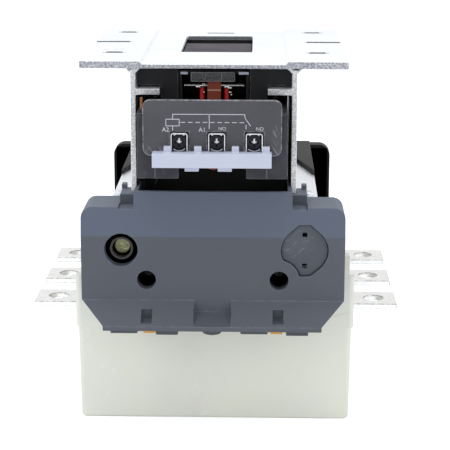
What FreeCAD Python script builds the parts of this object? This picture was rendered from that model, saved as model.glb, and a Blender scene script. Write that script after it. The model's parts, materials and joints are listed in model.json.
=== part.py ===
# Three-pole magnetic contactor, standing on its front cover with the mounting bracket on top.
# X runs from the load terminals to the line terminals, Y runs back from the coil side across the
# poles, Z runs from the front cover to the mounting face. The origin is the centre of the
# footprint at the front cover. Depths along Y are given from the coil side's outermost face.

import FreeCAD, Part
import os
import re
import Sketcher

# Driving dimensions in millimetres. Each one is written once and becomes a spreadsheet cell.
SIZES = {
    # whole contactor
    "far_margin": 43.0,
    "bracket_height": 81.4,
    "fit_gap": 0.3,
    "head_rounding": 0.35,
    "cross_depth": 0.5,
    "cross_length": 0.6,
    "cross_width": 0.12,
    "cut_margin": 1.0,
    "winding_inset": 1.0,
    "well_gap": 1.0,
    "well_end_gap": 2.0,
    "notch_clear": 0.01,
    "chamber_set_in": 0.5,
    "pole_pitch": 48.0,
    "pole_gap": 2.5,
    # extruded mounting bracket
    "bracket_width": 143.0,
    "bracket_start": 34.4,
    "bracket_length": 152.5,
    "flange_thick": 4.0,
    "web_recess": 1.6,
    "web_recess_half": 38.0,
    "web_thick": 2.3,
    "channel_half": 44.4,
    "channel_wall": 2.8,
    "corner_cut": 2.6,
    "rib_depth": 14.7,
    "rib_thick": 3.2,
    "rib_reach": 12.8,
    "rib_round": 1.0,
    "foot_thick": 3.0,
    "foot_ledge": 1.0,
    "slot_width": 6.5,
    "slot_inner": 49.6,
    "slot_outer": 62.8,
    "slot_inset": 85.6,
    "slot_pitch": 48.0,
    "window_half": 20.0,
    "window_inset": 51.6,
    "window_length": 76.0,
    "window_round": 1.0,
    "back_slot_half": 8.3,
    "back_slot_inset": 10.9,
    "back_slot_width": 5.0,
    "foot_screw_edge": 5.0,
    "foot_screw_near_inset": 27.6,
    "foot_screw_far_inset": 14.9,
    "foot_screw_radius": 2.0,
    "foot_head_radius": 3.6,
    "foot_head_height": 2.4,
    "foot_screw_length": 14.0,
    # magnet
    "stack_inset": 43.6,
    "stack_length": 64.0,
    "yoke_half": 40.0,
    "yoke_bar": 20.0,
    "yoke_hump_half": 27.5,
    "yoke_hump_rise": 10.6,
    "yoke_leg": 12.0,
    "yoke_middle_leg": 24.0,
    "magnet_rise": 7.0,
    "armature_thick": 20.0,
    "stroke": 10.0,
    "stroke_spare": 0.3,
    "rivet_radius": 2.5,
    "rivet_head": 1.2,
    "rivet_half": 33.5,
    "key_inset": 17.6,
    "key_height": 7.5,
    "key_inner": 30.3,
    "key_tongue": 3.2,
    "key_groove": 3.6,
    # coil
    "coil_overhang": 16.0,
    "bobbin_flange": 2.5,
    "bobbin_wall": 1.5,
    "coil_face_thick": 9.5,
    "coil_face_half": 39.3,
    "coil_face_height": 40.4,
    "coil_top_drop": 6.0,
    "apron_thick": 3.5,
    "apron_gap": 0.5,
    "shutter_inset": 20.5,
    "shutter_thick": 3.0,
    "coil_foot_inner": 17.6,
    "coil_foot_height": 11.0,
    "label_half": 36.1,
    "label_height": 29.4,
    "label_rise": 1.6,
    "label_round": 4.0,
    "label_thick": 2.4,
    "strip_half": 30.8,
    "strip_drop": 4.8,
    "strip_height": 7.4,
    "strip_thick": 8.1,
    "merlon_rise": 2.9,
    "merlon_width": 3.7,
    "merlon_inner": 9.7,
    "merlon_pitch": 15.8,
    "lower_tab_width": 7.3,
    "lower_tab_drop": 2.6,
    "lower_tab_shift": 1.95,
    "lower_tab_half": 8.55,
    "terminal_pitch": 19.4,
    "terminal_shift": 2.4,
    "terminal_rise": 7.8,
    "terminal_plate": 8.9,
    "terminal_plate_thick": 1.0,
    "terminal_head_radius": 4.1,
    "terminal_head_height": 3.0,
    "terminal_shank_radius": 1.9,
    "terminal_shank_length": 4.9,
    "terminal_pocket": 9.9,
    "terminal_pocket_depth": 1.5,
    # economy switch above the coil
    "switch_half": 18.8,
    "switch_inset": 22.0,
    "switch_depth": 30.0,
    "switch_height": 18.1,
    "switch_wall": 1.6,
    "switch_core_half": 3.6,
    "switch_core_drop": 4.4,
    "leaf_thick": 0.7,
    "leaf_length": 12.5,
    "leaf_width": 5.0,
    "leaf_inset": 1.0,
    "leaf_drop": 4.2,
    "lead_radius": 1.3,
    "lead_half": 6.5,
    # side housing on the coil side
    "housing_overhang": 14.5,
    "housing_back": 47.0,
    "housing_face": 17.0,
    "housing_wall": 2.5,
    "lip_front": 3.0,
    "housing_drop": 18.0,
    "lip_height": 2.6,
    "lip_taper": 12.4,
    "pad_rise": 13.2,
    "crease_rise": 48.2,
    "housing_height": 72.2,
    "housing_lean": 4.0,
    "shoulder_drop": 8.3,
    "shoulder_round": 6.0,
    "notch_inner": 42.2,
    "notch_outer": 50.3,
    "notch_step": 1.3,
    "clip_front": 30.0,
    "clip_drop": 3.5,
    "lug_width": 2.8,
    "lug_rise": 2.8,
    "lug_depth": 5.0,
    "recess_half": 10.0,
    "recess_rise": 6.8,
    "lip_tab_depth": 3.0,
    "wide_tab_width": 14.4,
    "wide_tab_drop": 1.2,
    "wide_tab_shift": 12.2,
    "small_tab_width": 11.7,
    "small_tab_drop": 1.9,
    "small_tab_shift": 10.6,
    "tab_pair_half": 34.5,
    "bump_half": 5.0,
    "bump_drop": 1.9,
    "stud_inset": 7.0,
    "stud_rise": 22.8,
    "stud_hole_radius": 8.9,
    "stud_radius": 4.2,
    "stud_front": 27.0,
    "stud_bury": 16.0,
    "sleeve_radius": 6.3,
    "sleeve_wall": 1.3,
    "sleeve_front": 21.0,
    "cover_radius": 12.3,
    "cover_flat_half": 3.0,
    "cover_height": 13.6,
    "cover_set_back": 2.0,
    "cover_gap": 0.35,
    "cover_window": 2.6,
    "cover_window_rise": 8.6,
    "cover_bite": 11.4,
    "screw_hole_half": 35.5,
    "screw_hole_rise": 6.4,
    "screw_hole_radius": 5.1,
    "screw_post_radius": 6.0,
    "screw_post_floor": 40.0,
    "housing_head_radius": 4.0,
    "housing_head_height": 3.2,
    "housing_shank_radius": 2.2,
    "housing_screw_length": 15.0,
    "driver_half": 34.5,
    "driver_width": 6.6,
    "driver_front": 21.0,
    "driver_depth": 6.0,
    "driver_drop": 6.8,
    "driver_room": 0.9,
    "pad_window": 5.8,
    "pad_window_half": 35.0,
    "pad_window_floor": 13.5,
    "pad_window_rise": 6.6,
    # far cover
    "far_depth": 10.0,
    "far_lip": 2.0,
    "far_overhang": 14.0,
    "far_wall": 2.0,
    "far_round": 7.0,
    "gusset_thick": 3.2,
    "gusset_near": 115.0,
    "gusset_far": 163.0,
    # base frame between the poles and the bracket
    "base_half": 56.0,
    "base_height": 40.2,
    "pole_block_margin": 0.5,
    "base_side": 12.0,
    "end_flange_half": 66.0,
    "end_flange_thick": 2.5,
    "base_roof": 7.0,
    "spring_radius": 7.0,
    "spring_wire": 1.4,
    "return_spring_turns": 6.0,
    "contact_spring_turns": 5.0,
    "seat_rise": 4.2,
    "spring_inset": 11.5,
    # pole housing and arc chamber
    "pole_half": 78.0,
    "pole_height": 30.3,
    "barrier": 8.0,
    "bay_inner": 60.0,
    "bay_wall": 4.0,
    "trough_half": 20.0,
    "trough_rise": 4.0,
    "pole_round": 3.0,
    "chamber_half": 76.9,
    "chamber_height": 54.5,
    "chamber_draft": 0.9,
    "chamber_wall": 3.5,
    "chamber_floor": 4.0,
    "chamber_round": 3.0,
    "chamber_edge": 1.2,
    "chamber_screw_half": 64.0,
    "chamber_screw_radius": 2.0,
    "chamber_head_radius": 2.9,
    "chamber_head_height": 2.6,
    "chamber_bore_depth": 4.0,
    "chamber_screw_grip": 11.5,
    # contacts
    "tab_half": 103.0,
    "tab_width": 25.0,
    "tab_thick": 3.0,
    "tab_rise": 11.0,
    "tab_inner": 22.0,
    "tab_hole_inset": 12.5,
    "tab_hole_radius": 5.5,
    "tip_length": 10.0,
    "tip_width": 16.0,
    "tip_thick": 2.0,
    "tip_inner": 24.0,
    "bridge_half": 34.5,
    "bridge_width": 22.0,
    "bridge_thick": 4.0,
    "moving_tip_thick": 2.2,
    "stem_half": 10.0,
    "stem_width": 31.0,
    "cage_post": 3.2,
    "cage_bar": 4.0,
    "contact_spring_length": 18.0,
    "crossbar_half": 16.0,
    "crossbar_gap": 2.5,
    "crossbar_drop": 0.8,
    "crossbar_end_gap": 1.0,
    "pedestal_half": 15.0,
    "pedestal_length": 30.0,
    "arm_half": 8.0,
    "arm_thick": 4.0,
    "arm_back": 74.0,
    "cross_arm_half": 37.0,
    "cross_arm_gap": 0.5,
    "cross_arm_height": 4.0,
    "cross_arm_back": 33.0,
    # arc splitter plates
    "splitter_count": 7,
    "splitter_thick": 1.6,
    "splitter_pitch": 4.6,
    "splitter_rise": 10.0,
    "splitter_inner": 38.0,
    "splitter_outer": 73.0,
    "splitter_notch": 10.0,
    "splitter_notch_depth": 14.0,
}

# Half widths, levels above the floor and depths from the coil side, each built up from the sizes.
LEVELS = {
    "foot_half": "base_half + foot_ledge",
    "foot_screw_half": "base_half - foot_screw_edge",
    "housing_half": "base_half + housing_overhang",
    "lip_half": "housing_half - lip_taper",
    "stud_half": "base_half - stud_inset",
    "far_half": "base_half + far_overhang",
    "well_half": "bay_inner - bay_wall",
    "tab_hole_half": "tab_half - tab_hole_inset",
    "pole_bottom": "chamber_height",
    "tab_top": "pole_bottom + tab_rise",
    "trough_floor": "tab_top + trough_rise",
    "base_bottom": "pole_bottom + pole_height",
    "base_ceiling": "foot_under - base_roof",
    "foot_under": "base_bottom + base_height",
    "foot_top": "foot_under + foot_thick",
    "overall_height": "foot_under + bracket_height",
    "coil_seat": "overall_height - rib_depth - rib_thick",
    "pole_face": "foot_under + magnet_rise",
    "chamber_screw_top": "pole_bottom + chamber_screw_grip",
    "splitter_low": "chamber_floor + splitter_rise",
    "crossbar_bottom": "trough_floor + crossbar_gap",
    "crossbar_top": "base_bottom - crossbar_drop",
    "spring_seat": "base_bottom + seat_rise",
    "lip_bottom": "base_bottom - housing_drop",
    "lip_top": "lip_bottom + lip_height",
    "recess_floor": "lip_bottom + recess_rise",
    "pad_top": "lip_bottom + pad_rise",
    "pad_window_level": "lip_bottom + pad_window_rise",
    "crease_level": "lip_bottom + crease_rise",
    "housing_top": "lip_bottom + housing_height",
    "clip_top": "housing_top - clip_drop",
    "shoulder_top": "housing_top - shoulder_drop",
    "notch_floor": "shoulder_top - notch_step",
    "stud_level": "base_bottom + stud_rise",
    "screw_hole_level": "base_bottom + screw_hole_rise",
    "cross_arm_bottom": "lip_bottom + housing_wall + cross_arm_gap",
    "driver_bottom": "lip_bottom - driver_drop",
    "far_top": "foot_top + far_lip",
    "coil_face_bottom": "coil_seat - coil_face_height",
    "coil_top": "coil_seat - coil_top_drop",
    "label_top": "coil_seat + label_rise",
    "label_bottom": "label_top - label_height",
    "strip_bottom": "label_bottom - strip_drop",
    "terminal_level": "label_bottom + terminal_rise",
    "switch_top": "coil_top + switch_height",
    "switch_core_top": "switch_top - switch_core_drop",
    "leaf_level": "switch_core_top - leaf_drop",
    "first_pole": "housing_back + pole_gap + pole_block_margin + pole_pitch / 2",
    "overall_width": "first_pole + 2 * pole_pitch + far_margin",
    "far_start": "overall_width - far_depth",
    "slot_middle": "bracket_start + slot_inset",
    "window_start": "bracket_start + window_inset",
    "window_end": "window_start + window_length",
    "back_slot_start": "bracket_start + bracket_length - back_slot_inset",
    "foot_screw_first": "bracket_start + foot_screw_near_inset",
    "foot_screw_last": "bracket_start + bracket_length - foot_screw_far_inset",
    "stack_start": "bracket_start + stack_inset",
    "stack_end": "stack_start + stack_length",
    "key_start": "bracket_start + key_inset",
    "switch_front": "label_thick + strip_thick + coil_face_thick + switch_inset",
}

doc = FreeCAD.newDocument("contactor")
sheet = doc.addObject("Spreadsheet::Sheet", "sizes")
for row, (alias, value) in enumerate(SIZES.items(), start=1):
    sheet.set("A%d" % row, alias)
    sheet.set("B%d" % row, repr(value))
    sheet.setAlias("B%d" % row, alias)
doc.recompute()

PARTS = []
POLES = (0, 1, 2)
SIDES = (-1, 1)
WORD = re.compile(r"[A-Za-z_]+")


def bind(expression):
    """Turn a formula of size and level names into an expression on the spreadsheet."""
    def cell(word):
        name = word.group(0)
        if name in LEVELS:
            return "(" + bind(LEVELS[name]) + ")"
        return "sizes." + name if name in SIZES else name
    return WORD.sub(cell, expression)


def number(expression):
    """Value of a formula of size names, worked out by the document itself."""
    return float(sheet.evalExpression(bind(expression)))


def depth(expression):
    """A distance from the coil side's outermost face as a Y position."""
    return "(%s) - overall_width / 2" % expression


def pole(index):
    """Y position of one pole's centre line."""
    return depth("first_pole + %d * pole_pitch" % index)


def start_body(label):
    """A new body for one piece, named as the piece."""
    body = doc.addObject("PartDesign::Body", label)
    body.Label = label
    PARTS.append(body)
    return body


def plane_of(body, name):
    """One of the body's own origin planes."""
    return next(feature for feature in body.Origin.OriginFeatures if feature.Role == name)


def rectangle(left, low, right, high):
    """Corner list of a rectangle given by four formulas."""
    return [(left, low), (right, low), (right, high), (left, high)]


def square(across, up, side):
    """Corner list of a square round a middle point."""
    return rectangle("%s - %s / 2" % (across, side), "%s - %s / 2" % (up, side),
                     "%s + %s / 2" % (across, side), "%s + %s / 2" % (up, side))


def add_polygon(sketch, corners):
    """A closed polygon whose every corner is bound to the sizes."""
    places = [FreeCAD.Vector(number(across), number(up), 0) for across, up in corners]
    lines = [Part.LineSegment(places[i], places[(i + 1) % len(places)]) for i in range(len(places))]
    first = sketch.addGeometry(lines, False)[0]
    for i in range(len(places)):
        sketch.addConstraint(sketch_link(first + i, 2, first + (i + 1) % len(places), 1))
    for i, (across, up) in enumerate(corners):
        bind_point(sketch, first + i, 1, across, up, places[i])


def sketch_link(one, one_end, other, other_end):
    """The constraint that joins two ends."""
    return Sketcher.Constraint("Coincident", one, one_end, other, other_end)


def bind_point(sketch, geometry, end, across, up, place):
    """Tie one point of a sketch to two formulas."""
    for kind, formula, value, axis in (("DistanceX", across, place.x, -2), ("DistanceY", up, place.y, -1)):
        if abs(value) < 1e-9:
            sketch.addConstraint(Sketcher.Constraint("PointOnObject", geometry, end, axis))
            continue
        index = sketch.addConstraint(Sketcher.Constraint(kind, -1, 1, geometry, end, value))
        sketch.setExpression("Constraints[%d]" % index, bind(formula))


def add_circle(sketch, across, up, radius):
    """A full circle bound to the sizes."""
    centre = FreeCAD.Vector(number(across), number(up), 0)
    index = sketch.addGeometry(Part.Circle(centre, FreeCAD.Vector(0, 0, 1), number(radius)), False)
    bind_point(sketch, index, 3, across, up, centre)
    size = sketch.addConstraint(Sketcher.Constraint("Radius", index, number(radius)))
    sketch.setExpression("Constraints[%d]" % size, bind(radius))


# For each origin plane: sign of the sketch offset along the world axis it faces.
PLANES = {"XY_Plane": 1, "XZ_Plane": -1, "YZ_Plane": 1}


def draw(body, plane, level, polygons=(), circles=()):
    """A sketch on one of the body's planes, moved to a level along the plane's world axis."""
    sketch = body.newObject("Sketcher::SketchObject", "Sketch")
    sketch.AttachmentSupport = (plane_of(body, plane), "")
    sketch.MapMode = "FlatFace"
    sketch.setExpression("AttachmentOffset.Base.z", bind("%d * (%s)" % (PLANES[plane], level)))
    for corners in polygons:
        add_polygon(sketch, corners)
    for across, up, radius in circles:
        add_circle(sketch, across, up, radius)
    sketch.Visibility = False
    return sketch


def pad(body, plane, low, high, polygons=(), circles=()):
    """Add material between two levels along the plane's world axis."""
    sketch = draw(body, plane, low, polygons, circles)
    feature = body.newObject("PartDesign::Pad", "Pad")
    feature.Profile = sketch
    feature.setExpression("Length", bind("(%s) - (%s)" % (high, low)))
    feature.Reversed = plane == "XZ_Plane"
    doc.recompute()
    return feature


def pocket(body, plane, low, high, polygons=(), circles=()):
    """Cut material away between two levels, and stop if nothing was cut."""
    before = body.Shape.Volume
    sketch = draw(body, plane, low, polygons, circles)
    feature = body.newObject("PartDesign::Pocket", "Pocket")
    feature.Profile = sketch
    feature.setExpression("Length", bind("(%s) - (%s)" % (high, low)))
    feature.Reversed = plane != "XZ_Plane"
    doc.recompute()
    if body.Shape.Volume > before - 1e-6:
        raise RuntimeError("%s: a pocket cuts nothing" % body.Label)
    return feature


def edges_where(body, wanted):
    """Names of the body's edges that a test accepts."""
    return ["Edge%d" % (i + 1) for i, edge in enumerate(body.Shape.Edges) if wanted(edge)]


def along(edge, axis):
    """True for a straight edge parallel to the given axis."""
    if edge.Curve.TypeId != "Part::GeomLine":
        return False
    direction = edge.Curve.Direction
    return abs(abs(direction.dot(axis)) - 1) < 1e-6


def round_edges(body, radius, wanted, kind="Fillet"):
    """Round or chamfer the edges that a test accepts."""
    base = body.Tip
    names = edges_where(body, wanted)
    feature = body.newObject("PartDesign::" + kind, kind)
    feature.Base = (base, names)
    feature.setExpression("Radius" if kind == "Fillet" else "Size", bind(radius))
    doc.recompute()
    return feature


def near(value, formula, slack=0.05):
    """True where a measured value matches a formula."""
    return abs(value - number(formula)) < slack


AXIS_Y = FreeCAD.Vector(0, 1, 0)
AXIS_Z = FreeCAD.Vector(0, 0, 1)


def corners_at(x_formula, y_formulas):
    """Test for upright edges at plus and minus one X and at the given Y places."""
    def wanted(edge):
        middle = edge.BoundBox.Center
        return (along(edge, AXIS_Z) and near(abs(middle.x), x_formula)
                and any(near(middle.y, place) for place in y_formulas))
    return wanted


def mirrored(points):
    """A profile's left half from its right half, so that the outline closes."""
    return points + [("-(%s)" % across, up) for across, up in reversed(points)]


# Mounting bracket: one aluminium extrusion cut to length. Its profile has a recessed web, two
# mounting flanges, two walls with inner ribs that carry the magnet, and two outward feet.
def make_bracket():
    body = start_body("mounting_bracket")
    top = "overall_height"
    web_top = "overall_height - web_recess"
    web_under = "overall_height - web_recess - web_thick"
    flange_under = "overall_height - flange_thick"
    wall_in = "channel_half - channel_wall"
    rib_top = "overall_height - rib_depth"
    half = [("web_recess_half", web_top), ("web_recess_half + web_recess", top),
            ("bracket_width / 2", top), ("bracket_width / 2", flange_under),
            ("channel_half + corner_cut", flange_under),
            ("channel_half", flange_under + " - corner_cut"),
            ("channel_half", "foot_top"), ("foot_half", "foot_top"), ("foot_half", "foot_under"),
            (wall_in, "foot_under"),
            (wall_in, rib_top + " - rib_thick"), (wall_in + " - rib_reach", rib_top + " - rib_thick"),
            (wall_in + " - rib_reach", rib_top), (wall_in, rib_top),
            (wall_in, web_under + " - corner_cut"), (wall_in + " - corner_cut", web_under)]
    start = depth("bracket_start")
    end = depth("bracket_start + bracket_length")
    pad(body, "XZ_Plane", start, end, [mirrored(half)])
    rib_root = number(wall_in)

    def rib_corner(edge):
        middle = edge.BoundBox.Center
        at_root = abs(abs(middle.x) - rib_root) < 0.05
        at_face = near(middle.z, rib_top) or near(middle.z, rib_top + " - rib_thick")
        return along(edge, AXIS_Y) and at_root and at_face
    round_edges(body, "rib_round", rib_corner)
    window = rectangle("-window_half", depth("window_start"), "window_half", depth("window_end"))
    back_slot = rectangle("-back_slot_half", depth("back_slot_start"), "back_slot_half",
                          depth("back_slot_start + back_slot_width"))
    pocket(body, "XY_Plane", web_under + " - cut_margin", top, [window, back_slot])
    round_edges(body, "window_round", corners_at("window_half", [depth("window_start"), depth("window_end")]))
    for side in SIDES:
        for step in (-1, 0, 1):
            place = depth("slot_middle + %d * slot_pitch" % step)
            low = "%s - slot_width / 2" % place
            high = "%s + slot_width / 2" % place
            inner = "%d * (slot_inner + slot_width / 2)" % side
            outer = "%d * (slot_outer - slot_width / 2)" % side
            if step == 0:
                outer = "%d * (bracket_width / 2 + cut_margin)" % side
            under = flange_under + " - cut_margin"
            pocket(body, "XY_Plane", under, top, [rectangle(inner, low, outer, high)])
            ends = [(inner, place, "slot_width / 2")]
            if step:
                ends.append((outer, place, "slot_width / 2"))
            pocket(body, "XY_Plane", under, top, (), ends[:1])
            if step:
                pocket(body, "XY_Plane", under, top, (), ends[1:])
    holes = [("%d * foot_screw_half" % side, depth(place), "foot_screw_radius + fit_gap")
             for side in SIDES for place in ("foot_screw_first", "foot_screw_last")]
    pocket(body, "XY_Plane", "foot_under - cut_margin", "foot_top", (), holes)


# Screws that hold the bracket's feet down on the base frame.
def make_foot_screws():
    spots = [("%d * foot_screw_half" % side, depth(place))
             for side in SIDES for place in ("foot_screw_first", "foot_screw_last")]
    make_screws("foot_screws", "XY_Plane", "foot_top", 1, spots, "foot_head_radius", "foot_head_height",
                "foot_screw_radius", "foot_screw_length")


def make_screws(label, plane, seat, head_side, spots, head_radius, head_height, shank_radius, shank_length):
    """Pan-head screws with a cross recess. The head lies on one side of the seat level, and the
    shank goes the other way along the plane's axis."""
    body = start_body(label)
    head_end = "%s + %d * %s" % (seat, head_side, head_height)
    shank_end = "%s - %d * (%s)" % (seat, head_side, shank_length)
    heads = sorted((seat, head_end), key=number)
    shanks = sorted((seat, shank_end), key=number)
    pad(body, plane, heads[0], heads[1], (), [(across, up, head_radius) for across, up in spots])
    pad(body, plane, shanks[0], shanks[1], (), [(across, up, shank_radius) for across, up in spots])

    def crown(edge):
        centre = edge.BoundBox.Center
        level = centre.z if plane == "XY_Plane" else centre.y
        return edge.Curve.TypeId == "Part::GeomCircle" and near(level, head_end)
    round_edges(body, "%s * head_rounding" % head_height, crown)
    recess = sorted((head_end, "%s - %d * %s * cross_depth" % (head_end, head_side, head_height)), key=number)
    arm = "%s * cross_length" % head_radius
    blade = "%s * cross_width" % head_radius
    outline = [(arm, "-" + blade), (arm, blade), (blade, blade), (blade, arm), ("-" + blade, arm),
               ("-" + blade, blade), ("-" + arm, blade), ("-" + arm, "-" + blade),
               ("-" + blade, "-" + blade), ("-" + blade, "-" + arm), (blade, "-" + arm), (blade, "-" + blade)]
    crosses = [[("%s + (%s)" % (across, dx), "%s + (%s)" % (up, dy)) for dx, dy in outline]
               for across, up in spots]
    pocket(body, plane, recess[0], recess[1], crosses)


def add_shape(label, shape):
    """A piece whose shape is set directly."""
    feature = doc.addObject("Part::Feature", label)
    feature.Label = label
    feature.Shape = shape
    PARTS.append(feature)
    return feature


# Magnet: a laminated yoke under the ribs, a laminated armature, and rivets through both stacks.
def make_magnet():
    start = depth("stack_start")
    end = depth("stack_end")
    bar_top = "coil_seat"
    bar_under = bar_top + " - yoke_bar"
    rib_top = "overall_height - rib_depth"
    half = [("yoke_hump_half", bar_top + " + yoke_hump_rise"),
            ("yoke_hump_half", rib_top + " + key_groove"),
            ("yoke_hump_half - key_groove", rib_top + " + key_groove"),
            ("yoke_hump_half - key_groove", rib_top), ("yoke_hump_half", rib_top),
            ("yoke_hump_half", bar_top),
            ("yoke_half", bar_top), ("yoke_half", "pole_face"), ("yoke_half - yoke_leg", "pole_face"),
            ("yoke_half - yoke_leg", bar_under), ("yoke_middle_leg / 2", bar_under),
            ("yoke_middle_leg / 2", "pole_face")]
    yoke = start_body("magnet_yoke")
    pad(yoke, "XZ_Plane", start, end, [mirrored(half)])
    armature = start_body("armature")
    face = "pole_face - stroke - stroke_spare"
    pad(armature, "XZ_Plane", start, end,
        [rectangle("-yoke_half", face + " - armature_thick", "yoke_half", face)])
    for label, level in (("yoke_rivets", bar_top + " - yoke_bar / 2"),
                         ("armature_rivets", face + " - armature_thick / 2")):
        rivets = start_body(label)
        spots = [("%d * rivet_half" % side, level, "rivet_radius") for side in SIDES]
        pad(rivets, "XZ_Plane", start + " - rivet_head", start, (), spots)
        pad(rivets, "XZ_Plane", end, end + " + rivet_head", (), spots)
    keys = start_body("yoke_keys")
    outer = "channel_half - channel_wall - rib_round"
    tongue = "yoke_hump_half - key_groove + fit_gap"
    profiles = []
    for side in SIDES:
        points = [(outer, rib_top), (outer, rib_top + " + key_height"),
                  ("key_inner", rib_top + " + key_height"), ("key_inner", rib_top + " + key_tongue"),
                  (tongue, rib_top + " + key_tongue"), (tongue, rib_top)]
        profiles.append([("%d * (%s)" % (side, across), up) for across, up in points])
    pad(keys, "XZ_Plane", depth("key_start"), end, profiles)


# Coil: a bobbin round the yoke's middle leg, its winding, and the terminal block on the coil side.
def make_coil():
    bar_under = "coil_seat - yoke_bar"
    bore = "yoke_middle_leg / 2 + fit_gap"
    outer = "yoke_half - yoke_leg - fit_gap"
    low = "pole_face + fit_gap + bobbin_flange"
    high = bar_under + " - fit_gap - bobbin_flange"
    bobbin = start_body("coil_bobbin")
    full = rectangle("-(%s)" % outer, depth("stack_start - coil_overhang"), outer,
                     depth("stack_end + coil_overhang"))
    hole = rectangle("-(%s)" % bore, depth("stack_start - fit_gap"), bore, depth("stack_end + fit_gap"))
    tube = rectangle("-(%s) - bobbin_wall" % bore, depth("stack_start - fit_gap - bobbin_wall"),
                     bore + " + bobbin_wall", depth("stack_end + fit_gap + bobbin_wall"))
    pad(bobbin, "XY_Plane", low + " - bobbin_flange", low, [full, hole])
    pad(bobbin, "XY_Plane", low, high, [tube, hole])
    pad(bobbin, "XY_Plane", high, high + " + bobbin_flange", [full, hole])
    winding = start_body("coil_winding")
    side = outer + " - winding_inset"
    wound = rectangle("-(%s)" % side, depth("stack_start - coil_overhang + winding_inset"), side,
                      depth("stack_end + coil_overhang - winding_inset"))
    pad(winding, "XY_Plane", low, high, [wound, tube])

    def winding_corner(edge):
        middle = edge.BoundBox.Center
        return along(edge, AXIS_Z) and near(abs(middle.x), side)
    round_edges(winding, "bobbin_flange", winding_corner)


def terminal_place(index):
    """X position of one coil terminal."""
    return "terminal_shift + %d * terminal_pitch" % (index - 1)


def make_coil_block():
    """Moulded block that carries the coil's terminals, with a raised label plate."""
    block = start_body("coil_block")
    back = depth("label_thick + strip_thick + coil_face_thick")
    stem_top = "coil_top"
    half = [("coil_face_half", stem_top), ("coil_face_half", "coil_face_bottom"),
            ("coil_foot_inner", "coil_face_bottom"),
            ("coil_foot_inner", "coil_face_bottom + coil_foot_height")]
    pad(block, "XZ_Plane", depth("label_thick + strip_thick"), back, [mirrored(half)])
    neck_low = "pole_face + fit_gap"
    reach = depth("stack_start - coil_overhang")
    pad(block, "XZ_Plane", back, reach,
        [rectangle("-coil_face_half", "coil_face_bottom + coil_foot_height", "coil_face_half", stem_top)])
    pad(block, "XZ_Plane", reach + " - apron_gap - apron_thick", reach + " - apron_gap",
        [rectangle("-coil_face_half", "foot_under + fit_gap", "coil_face_half", stem_top)])
    room = "channel_half - channel_wall - fit_gap"
    rib_end = "channel_half - channel_wall - rib_reach - fit_gap"
    web_under = "overall_height - web_recess - web_thick - fit_gap"
    over_rib = "overall_height - rib_depth + rib_round"
    shutters = []
    inner = "switch_half + fit_gap"
    for side in SIDES:
        corners = [(inner, stem_top), (rib_end, stem_top), (rib_end, over_rib), (room, over_rib),
                   (room, web_under + " - corner_cut"), (room + " - corner_cut", web_under), (inner, web_under)]
        shutters.append([("%d * (%s)" % (side, across), up) for across, up in corners])
    shutter_front = depth("label_thick + strip_thick + coil_face_thick + shutter_inset")
    pad(block, "XZ_Plane", shutter_front, shutter_front + " + shutter_thick", shutters)
    label = start_body("coil_label_plate")
    face = depth("label_thick + strip_thick")
    front = depth("strip_thick")
    pad(label, "XZ_Plane", front, face,
        [rectangle("-label_half", "label_bottom", "label_half", "label_top")])

    def label_corner(edge):
        return along(edge, AXIS_Y) and near(abs(edge.BoundBox.Center.x), "label_half")
    round_edges(label, "label_round", label_corner)
    pockets = [square(terminal_place(i), "terminal_level", "terminal_pocket") for i in POLES]
    floor = depth("strip_thick + terminal_pocket_depth")
    pocket(label, "XZ_Plane", front, floor, pockets)
    strip = start_body("terminal_strip")
    low = "strip_bottom"
    high = "strip_bottom + strip_height"
    merlons = []
    for side in SIDES:
        for step in (0, 1):
            centre = "%d * (merlon_inner + %d * merlon_pitch) + terminal_shift" % (side, step)
            merlons.append(rectangle("%s - merlon_width / 2" % centre, high,
                                     "%s + merlon_width / 2" % centre, high + " + merlon_rise"))
    tabs = [rectangle("%d * lower_tab_half - lower_tab_width / 2 - lower_tab_shift" % side,
                      low + " - lower_tab_drop",
                      "%d * lower_tab_half + lower_tab_width / 2 - lower_tab_shift" % side, low)
            for side in SIDES]
    strip_front = depth("0")
    pad(strip, "XZ_Plane", strip_front, front, [rectangle("-strip_half", low, "strip_half", high)])
    pad(strip, "XZ_Plane", depth("strip_thick / 2"), front, merlons)
    pad(strip, "XZ_Plane", depth("strip_thick / 2"), front, tabs)
    plates = start_body("coil_terminal_plates")
    pad(plates, "XZ_Plane", floor + " - terminal_plate_thick", floor,
        [square(terminal_place(i), "terminal_level", "terminal_plate") for i in POLES])
    pocket(plates, "XZ_Plane", floor + " - terminal_plate_thick", floor, (),
           [(terminal_place(i), "terminal_level", "terminal_shank_radius") for i in POLES])
    bores = [(terminal_place(i), "terminal_level", "terminal_shank_radius") for i in POLES]
    pocket(label, "XZ_Plane", floor, face, (), bores)
    pocket(block, "XZ_Plane", face, floor + " - terminal_plate_thick + terminal_shank_length", (), bores)
    spots = [(terminal_place(i), "terminal_level") for i in POLES]
    make_screws("coil_terminal_screws", "XZ_Plane", floor + " - terminal_plate_thick", -1, spots,
                "terminal_head_radius", "terminal_head_height", "terminal_shank_radius",
                "terminal_shank_length")


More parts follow.
